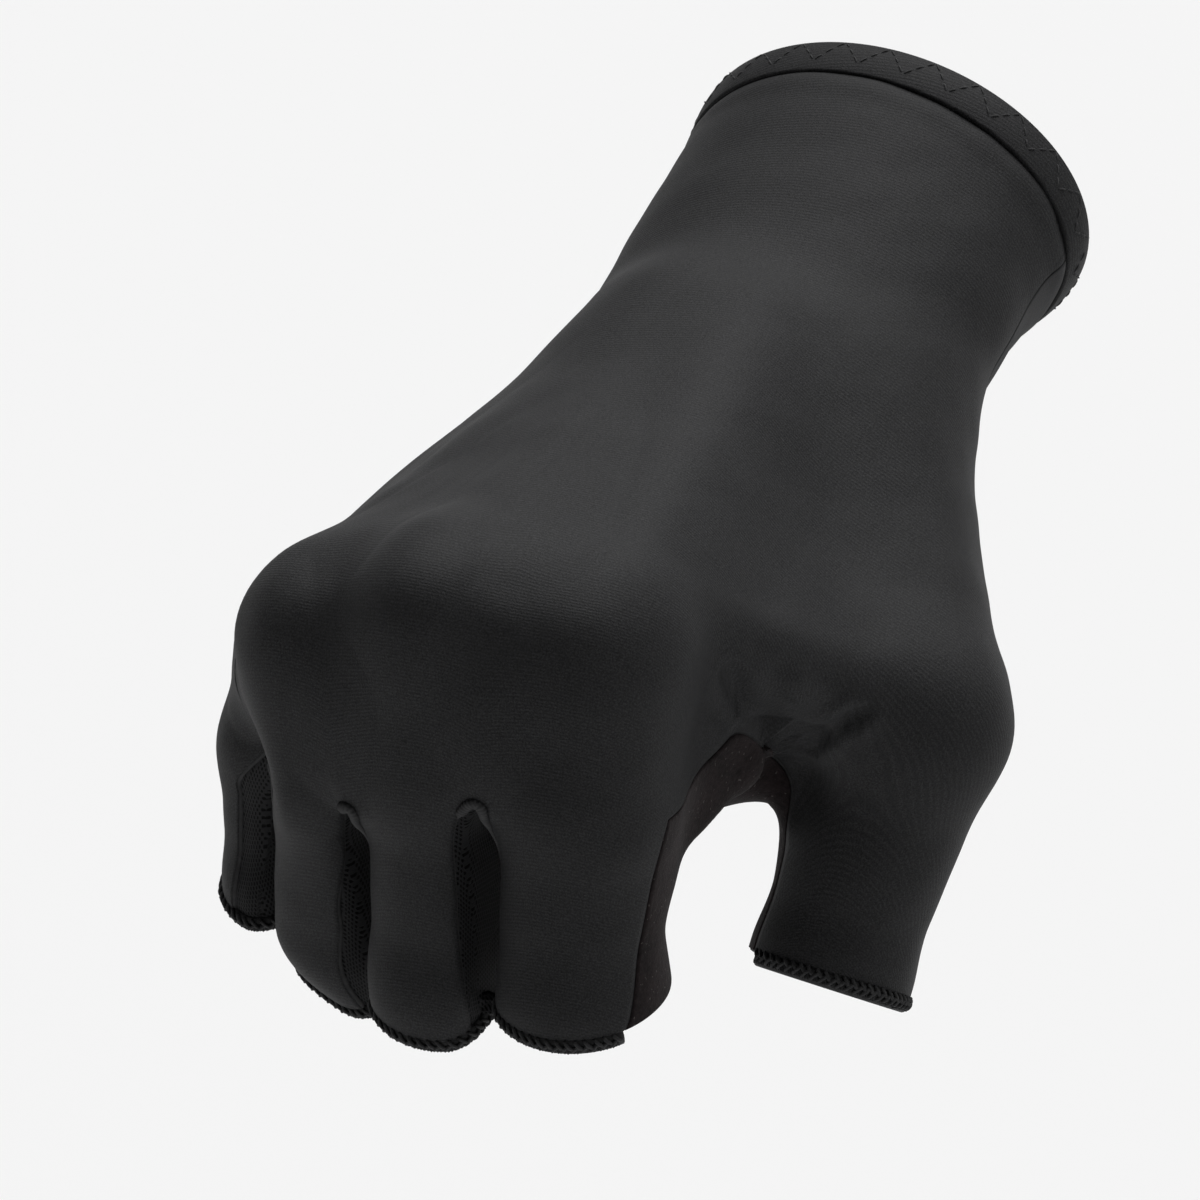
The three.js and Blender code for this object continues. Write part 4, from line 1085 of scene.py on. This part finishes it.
def rim_walk(start, through, end):
    """The knit's rim from one place to another, by way of a third: points and outward directions."""
    points, tris, normal = SHEETS["back_panel"]
    loop = max(rim_loops(tris), key=len)
    ring = points[loop]
    i, j = nearest(ring, start), nearest(ring, end)
    n = len(ring)
    ways = [[(i + k) % n for k in range((j - i) % n + 1)], [(i - k) % n for k in range((i - j) % n + 1)]]
    ids = loop[min(ways, key=lambda way: lengths(ring[way] - vec(through)).min())]
    return points[ids], normal[ids]


LENGTH = dict(subtype="DISTANCE", unit="LENGTH")
COLOUR = dict(subtype="COLOR", min=0, max=1)


class GloveSizes(PropertyGroup):
    wall: FloatProperty(
        name="Cloth wall", description="Thickness of the knit and suede cloth",
        default=WALL * MM, min=0.0005, max=0.003, **LENGTH)
    cuff_width: FloatProperty(
        name="Cuff hem", description="Width of the turned hem at the wrist", default=0.0056, **LENGTH)
    zigzag: FloatProperty(
        name="Zig-zag", description="Length of one zig-zag of the cuff stitching", default=0.007, **LENGTH)
    thread: FloatProperty(
        name="Thread", description="Radius of the stitching thread", default=0.00017, **LENGTH)
    rumple: FloatProperty(
        name="Unevenness", description="Height of the cloth's soft unevenness", default=0.00022, **LENGTH)


class GloveLooks(PropertyGroup):
    knit: FloatVectorProperty(
        name="Knit", description="Colour of the knit back", default=(0.043, 0.043, 0.0443), **COLOUR)
    suede: FloatVectorProperty(
        name="Suede", description="Colour of the suede palm", default=(0.031, 0.0225, 0.0232), **COLOUR)
    lint: FloatVectorProperty(
        name="Lint", description="Colour of the lint on the suede", default=(0.075, 0.066, 0.064), **COLOUR)
    net: FloatVectorProperty(
        name="Net", description="Colour of the net strips", default=(0.009, 0.009, 0.0095), **COLOUR)
    thread: FloatVectorProperty(
        name="Thread", description="Colour of the stitching", default=(0.042, 0.042, 0.043), **COLOUR)
    floor: FloatVectorProperty(
        name="Floor", description="Colour of the floor", default=(0.9, 0.9, 0.9), **COLOUR)
    rib_pitch: FloatProperty(
        name="Rib pitch", description="Distance between knit ribs in millimetres", default=0.58)
    net_pitch: FloatProperty(
        name="Net pitch", description="Distance between rows of net holes in millimetres", default=0.65)


class GLOVE_OT_back(Operator):
    """Knit back of the glove, from the wrist to the ends of the digits"""
    bl_idname = "glove.back"
    bl_label = "Back of the glove"

    def execute(self, context):
        sizes, looks = context.scene.glove_sizes, context.scene.glove_looks
        obj, area = panel_piece("back_panel", sizes.wall / MM, (8, 5), worn(sizes), panel_uv)
        finish_piece(obj, material("knit", looks), "knit", "back_panel")
        return {"FINISHED"}


class GLOVE_OT_palm(Operator):
    """Suede palm of the glove, with its lobe in the web of the thumb"""
    bl_idname = "glove.palm"
    bl_label = "Palm of the glove"

    def execute(self, context):
        sizes, looks = context.scene.glove_sizes, context.scene.glove_looks
        obj, area = panel_piece("palm_panel", sizes.wall / MM, (10, 6), worn(sizes, 1.3), panel_uv)
        finish_piece(obj, material("suede", looks), "suede", "palm_panel")
        return {"FINISHED"}


# Net strips: wall, place below the outer face, and how far they reach under the cloth beside them
NET_WALL, NET_DEPTH, NET_REACH = 0.5, 0.45, 0.9


class GLOVE_OT_nets(Operator):
    """Net strips between the fingers"""
    bl_idname = "glove.nets"
    bl_label = "Net strips"

    def execute(self, context):
        looks = context.scene.glove_looks
        for node, line in NET_LINES.items():
            obj, area = panel_piece(node, NET_WALL, (6, 3), lambda p: np.full(len(p), -NET_DEPTH),
                                    lambda p: beside_line(p, line)[2], NET_REACH)
            finish_piece(obj, material("net", looks), "net", node)
        return {"FINISHED"}


# Cuff: points around it and rows along it
CUFF_POINTS, CUFF_ROWS = 160, 8
# In metres: the hem's wall, what is added to its width, and how far that moves its middle down the sleeve
CUFF_WALL, CUFF_LONGER, CUFF_DOWN = 0.0019, 0.0007, 0.00065
# Zig-zag: step of its path, distance from both edges of the hem together and from the opening, and the
# heights of each stitch over the cloth at five shares of its length
ZIGZAG_STEP, ZIGZAG_INSET, ZIGZAG_START = 0.2, 1.5, 0.7
STITCH_SHARES = (0.0, 0.2, 0.5, 0.8, 1.0)
STITCH_HEIGHTS = np.array([-0.16, 0.02, 0.08, 0.02, -0.16])[:, None]


def cuff_puff(share):
    """How far the hem stands out of the sleeve at a share of its width."""
    return 0.62 + 0.28 * np.sin(math.pi * share)


class GLOVE_OT_cuff(Operator):
    """Turned hem of the wrist opening, with its zig-zag stitching"""
    bl_idname = "glove.cuff"
    bl_label = "Cuff"

    def execute(self, context):
        sizes, looks = context.scene.glove_sizes, context.scene.glove_looks
        width = sizes.cuff_width
        deselect()
        bpy.ops.mesh.primitive_cylinder_add(
            vertices=CUFF_POINTS, radius=1.0, depth=width + CUFF_LONGER, end_fill_type="NOTHING",
            location=(0, -width / 2 - CUFF_DOWN, 0), rotation=(math.pi / 2, 0, 0))
        obj = context.active_object
        obj.name = "cuff_hem"
        bpy.ops.object.transform_apply(location=True, rotation=True, scale=True)
        bpy.ops.object.mode_set(mode="EDIT")
        for k in range(1, CUFF_ROWS):
            bpy.ops.mesh.select_all(action="SELECT")
            bpy.ops.mesh.bisect(plane_co=(0, -width * k / CUFF_ROWS, 0), plane_no=(0, 1, 0))
        for level in sorted({round(v.co.y, 5) for v in bmesh.from_edit_mesh(obj.data).verts}):
            bm = bmesh.from_edit_mesh(obj.data)
            bpy.ops.mesh.select_all(action="DESELECT")
            bpy.ops.mesh.select_mode(type="VERT")
            for v in bm.verts:
                v.select_set(abs(v.co.y - level) < 1e-4)
            bm.select_flush_mode()
            bmesh.update_edit_mesh(obj.data)
            cx, cz, hw, hh = (float(x) for x in sleeve_at(level / MM))
            puff = float(cuff_puff(-level / width))
            scale = (hw + puff) * MM, 1, (hh + puff) * MM
            bpy.ops.transform.resize(value=scale, center_override=(0, level, 0))
            bpy.ops.transform.translate(value=(cx * MM, 0, cz * MM))
        bpy.ops.object.mode_set(mode="OBJECT")
        mod = obj.modifiers.new("turned hem", "SOLIDIFY")
        mod.thickness, mod.offset = CUFF_WALL, -1
        bpy.ops.object.modifier_apply(modifier=mod.name)
        bpy.ops.object.mode_set(mode="EDIT")
        bpy.ops.mesh.select_all(action="SELECT")
        bpy.ops.mesh.normals_make_consistent(inside=False)
        bpy.ops.object.mode_set(mode="OBJECT")
        mod = obj.modifiers.new("round edges", "BEVEL")
        mod.width, mod.segments, mod.limit_method = 0.0004, 3, "ANGLE"
        bpy.ops.object.modifier_apply(modifier=mod.name)
        bpy.ops.object.shade_smooth_by_angle(angle=math.radians(50))
        uv = obj.data.uv_layers[0] if obj.data.uv_layers else obj.data.uv_layers.new(name="cloth")
        uv.name = "cloth"
        co = read(obj.data.vertices, "co", 3) / MM
        ids = read(obj.data.loops, "vertex_index", 1, np.int64)[:, 0]
        flat = np.stack([co[:, 0], -co[:, 1]], 1)
        uv.data.foreach_set("uv", flat[ids].astype(np.float32).reshape(-1))
        finish_piece(obj, material("knit", looks), "knit", "cuff_band")
        finish_piece(self.zigzag(sizes), material("pale", looks), "thread")
        return {"FINISHED"}

    def zigzag(self, sizes):
        """Three stitches on each flank, each a short thread that dips into the cloth at its ends."""
        width = sizes.cuff_width / MM
        turn = np.linspace(0, 2 * math.pi, 2000, endpoint=False)
        cx, cz, hw, hh = sleeve_at(-width / 2)
        ring = np.stack([cx + hw * np.cos(turn), np.zeros(2000), cz + hh * np.sin(turn)], 1)
        ring = resample(ring, ZIGZAG_STEP, closed=True)
        length = len(ring) * ZIGZAG_STEP
        phase = np.arange(len(ring)) * ZIGZAG_STEP / length * round(length / (sizes.zigzag / MM)) % 1.0
        share = np.where(phase < 0.5, phase * 2, 2 - phase * 2)
        y = -ZIGZAG_START - share * (width - ZIGZAG_INSET)
        cx, cz, hw, hh = sleeve_at(y)
        turn = np.arctan2(ring[:, 2] / 21.9, ring[:, 0] / 30.2)
        puff = cuff_puff(-y / width)
        p = np.stack([cx + (hw + puff) * np.cos(turn), y, cz + (hh + puff) * np.sin(turn)], 1)
        out = units(np.cross(tangents(p, closed=True), vec(0, 1, 0)))
        out *= np.sign(dots(out, p - vec(0, -width / 2, 0)))[:, None]
        stitch = np.floor(phase * 6).astype(int) + 6 * np.cumsum(np.diff(phase, prepend=phase[0]) < -0.5)
        paths = []
        for k in range(stitch.max()):
            ids = np.nonzero(stitch == k)[0]
            line = np.array([p[ids[0]] * (1 - t) + p[ids[-1]] * t for t in STITCH_SHARES])
            paths.append(line + out[ids[len(ids) // 2]] * STITCH_HEIGHTS)
        return to_mesh("cuff_zigzag", *strands(paths, sizes.thread / MM * 0.8, 6))


# Hems: degrees around each digit from and to
HEMS = {
    "index": (-133, 56), "middle": (-141, 129), "ring": (-159, 133), "little": (-107, 109),
    "thumb": (-61, 103),
}
# Step of the hems' paths, and the pitches of the plait and of the fine threads across the edge
HEM_STEP, PLAIT_PITCH, WRAP_PITCH = 0.2, 1.15, 0.5


class GLOVE_OT_hems(Operator):
    """Overlocked edges at the ends of the four fingers and the thumb"""
    bl_idname = "glove.hems"
    bl_label = "Finger hems"

    def execute(self, context):
        sizes, looks = context.scene.glove_sizes, context.scene.glove_looks
        r = sizes.thread / MM
        rng = np.random.default_rng(11)
        for name, (start, end) in HEMS.items():
            path, along, out = hem_path(name, start, end)
            path = path + cloth_shift(path)
            count = int(lengths(np.diff(path, axis=0)).sum() / HEM_STEP)
            pick = np.linspace(0, len(path) - 1, count).astype(int)
            path, along, out = path[pick], along[pick], out[pick]
            core = sweep(tube(path + along * 0.95 - out * 0.5, along, out, 1.2, 0.6, 12))
            middle = path + along * 0.75
            plait = chain(middle, along, out, PLAIT_PITCH, 0.85, 0.16, rng)
            fine = wrapped(path, along, out, WRAP_PITCH, 0.9, 1.8, 0.05, rng)
            inner = chain(middle, along, -out, PLAIT_PITCH, 0.8, 1.12, rng)
            threads = [strands(plait, r * 1.55, 6), strands(fine, r * 0.8, 5), strands(inner, r * 1.4, 5)]
            obj = to_mesh(f"{name}_overlock", *merged([core, *threads]))
            finish_piece(obj, material("thread", looks), "thread", f"{name}_hem")
        return {"FINISHED"}


# Rolled edges: start, top and end of each slit's stitched edge on the knit
SLITS = [
    ((12.3, -149.6, -9.0), (14.6, -149.1, -5.9), (15.6, -150.2, -34.0)),
    ((-5.9, -150.4, -14.0), (-4.3, -149.9, -11.7), (-2.6, -153.5, -34.0)),
    ((-20.4, -147.5, -12.0), (-18.0, -149.1, -9.0), (-17.2, -149.0, -30.0)),
]
# Step along a slit's edge, rounds of smoothing and stitch pitch, and the radius of the threads under the seams
SLIT_STEP, SLIT_ROUNDS, SLIT_PITCH, SEAM_RADIUS = 0.11, 60, 0.42, 0.42


class GLOVE_OT_slits(Operator):
    """Rolled and stitched edges of the slits between the fingers"""
    bl_idname = "glove.slits"
    bl_label = "Slit edges"

    def execute(self, context):
        looks = context.scene.glove_looks
        obj = to_mesh("slit_edges", *merged([self.edge(*row) for row in SLITS]))
        finish_piece(obj, material("edge", looks), "thread")
        obj = to_mesh("seam_threads", *merged(self.seams()))
        finish_piece(obj, material("thread", looks), "thread")
        return {"FINISHED"}

    def edge(self, start, top, end):
        """A roll along the knit's rim around one slit, thickest at its top and thin at its ends."""
        path, normal = rim_walk(start, top, end)
        full = resample(path, SLIT_STEP)
        out = normal[[nearest(path, q) for q in full]]
        away = lengths(full - vec(top))
        for _ in range(SLIT_ROUNDS):
            full[1:-1] = full[1:-1] * 0.5 + (full[:-2] + full[2:]) * 0.25
        at = np.arange(len(full))
        size = 0.36 + 0.5 * np.exp(-(away / 7.0) ** 2)
        size *= 1 + 0.08 * np.sin(at * SLIT_STEP * 2 * math.pi / SLIT_PITCH)
        size *= ease(at / 12.0) * ease((len(full) - 1 - at) / 30.0) * 0.85 + 0.15
        size = size[:, None, None]
        return sweep(tube(full + out * 0.05, np.cross(tangents(full), out), out, size, size * 0.75, 10))

    def seams(self):
        """Threads that run under the edges of the knit and the suede, where the two are sewn together."""
        parts = []
        for name in ("back_panel", "palm_panel"):
            points, tris, normal = SHEETS[name]
            for loop in rim_loops(tris):
                if len(loop) < 60:
                    continue
                ring, out = points[loop], normal[loop]
                across = np.cross(tangents(ring, closed=True), out)
                rows = tube(ring - out * 0.6, across, out, SEAM_RADIUS, SEAM_RADIUS, 8)
                keep = ring[:, 1] < -1.2
                first = -int(np.argmin(keep))
                parts.append(sweep(np.roll(rows, first, 0)[np.roll(keep, first)]))
        return parts


# Stage: size and height of the floor, strength of the sky, and for each light the direction it comes from,
# its softness in degrees and its strength
FLOOR_SIZE, FLOOR_HEIGHT, SKY = 8.0, -0.35, 0.06
LIGHTS = {"top_light": ((-0.16, 0.75, 1.0), 58, 3.6), "side_light": ((1.0, 0.0, 0.5), 60, 0.25)}
SENSOR = 36.0


class GLOVE_OT_stage(Operator):
    """Pale floor, soft studio light and the camera"""
    bl_idname = "glove.stage"
    bl_label = "Stage"

    def execute(self, context):
        looks = context.scene.glove_looks
        deselect()
        bpy.ops.mesh.primitive_plane_add(size=FLOOR_SIZE, location=(0, 0, FLOOR_HEIGHT))
        floor = context.active_object
        floor.name = "floor"
        mat = bpy.data.materials.new("floor")
        mat.use_nodes = True
        shader = mat.node_tree.nodes["Principled BSDF"]
        shader.inputs["Base Color"].default_value = (*looks.floor, 1)
        shader.inputs["Roughness"].default_value = 0.9
        floor.data.materials.append(mat)
        world = context.scene.world or bpy.data.worlds.new("studio")
        context.scene.world = world
        world.use_nodes = True
        sky = world.node_tree.nodes["Background"]
        sky.inputs["Color"].default_value = (1, 1, 1, 1)
        sky.inputs["Strength"].default_value = SKY
        context.scene.view_settings.view_transform = "Standard"
        for name, (way, soft, power) in LIGHTS.items():
            light = bpy.data.lights.new(name, "SUN")
            light.energy, light.angle = power, math.radians(soft)
            obj = bpy.data.objects.new(name, light)
            context.scene.collection.objects.link(obj)
            obj.rotation_mode = "QUATERNION"
            obj.rotation_quaternion = Vector(way).to_track_quat("Z", "Y")
        self.camera(context)
        return {"FINISHED"}

    def camera(self, context):
        distance, focal, middle = CAMERA["distance"] * MM, CAMERA["focal"], CAMERA["picture"] / 2
        x, y = ((CAMERA["origin"][k] - middle) / focal * distance for k in (0, 1))
        place = -(RIGHT * x - UP * y - BACK * distance)
        cam = bpy.data.cameras.new("camera")
        cam.sensor_width = SENSOR
        cam.sensor_fit = "HORIZONTAL"
        cam.lens = focal / CAMERA["picture"] * SENSOR
        cam.clip_start, cam.clip_end = 0.05, 20.0
        obj = bpy.data.objects.new("camera", cam)
        context.scene.collection.objects.link(obj)
        m = Matrix.Identity(4)
        for k in range(3):
            m[k][0], m[k][1], m[k][2], m[k][3] = RIGHT[k], UP[k], BACK[k], place[k]
        obj.matrix_world = m
        context.scene.camera = obj


class GLOVE_PT_panel(Panel):
    bl_label = "Glove"
    bl_idname = "GLOVE_PT_panel"
    bl_space_type = "VIEW_3D"
    bl_region_type = "UI"
    bl_category = "Glove"

    def draw(self, context):
        for group in (context.scene.glove_sizes, context.scene.glove_looks):
            for key in group.__annotations__:
                self.layout.prop(group, key)
        for operator in OPERATORS:
            self.layout.operator(operator.bl_idname)


OPERATORS = (GLOVE_OT_back, GLOVE_OT_palm, GLOVE_OT_nets, GLOVE_OT_cuff, GLOVE_OT_hems, GLOVE_OT_slits,
             GLOVE_OT_stage)
CLASSES = (GloveSizes, GloveLooks, *OPERATORS, GLOVE_PT_panel)


def register():
    for cls in CLASSES:
        bpy.utils.register_class(cls)
    bpy.types.Scene.glove_sizes = PointerProperty(type=GloveSizes)
    bpy.types.Scene.glove_looks = PointerProperty(type=GloveLooks)


def unregister():
    del bpy.types.Scene.glove_looks
    del bpy.types.Scene.glove_sizes
    for cls in reversed(CLASSES):
        bpy.utils.unregister_class(cls)


def main():
    register()
    glove = bpy.ops.glove
    for step in (glove.back, glove.palm, glove.nets, glove.cuff, glove.hems, glove.slits, glove.stage):
        step()


if __name__ == "__main__":
    main()
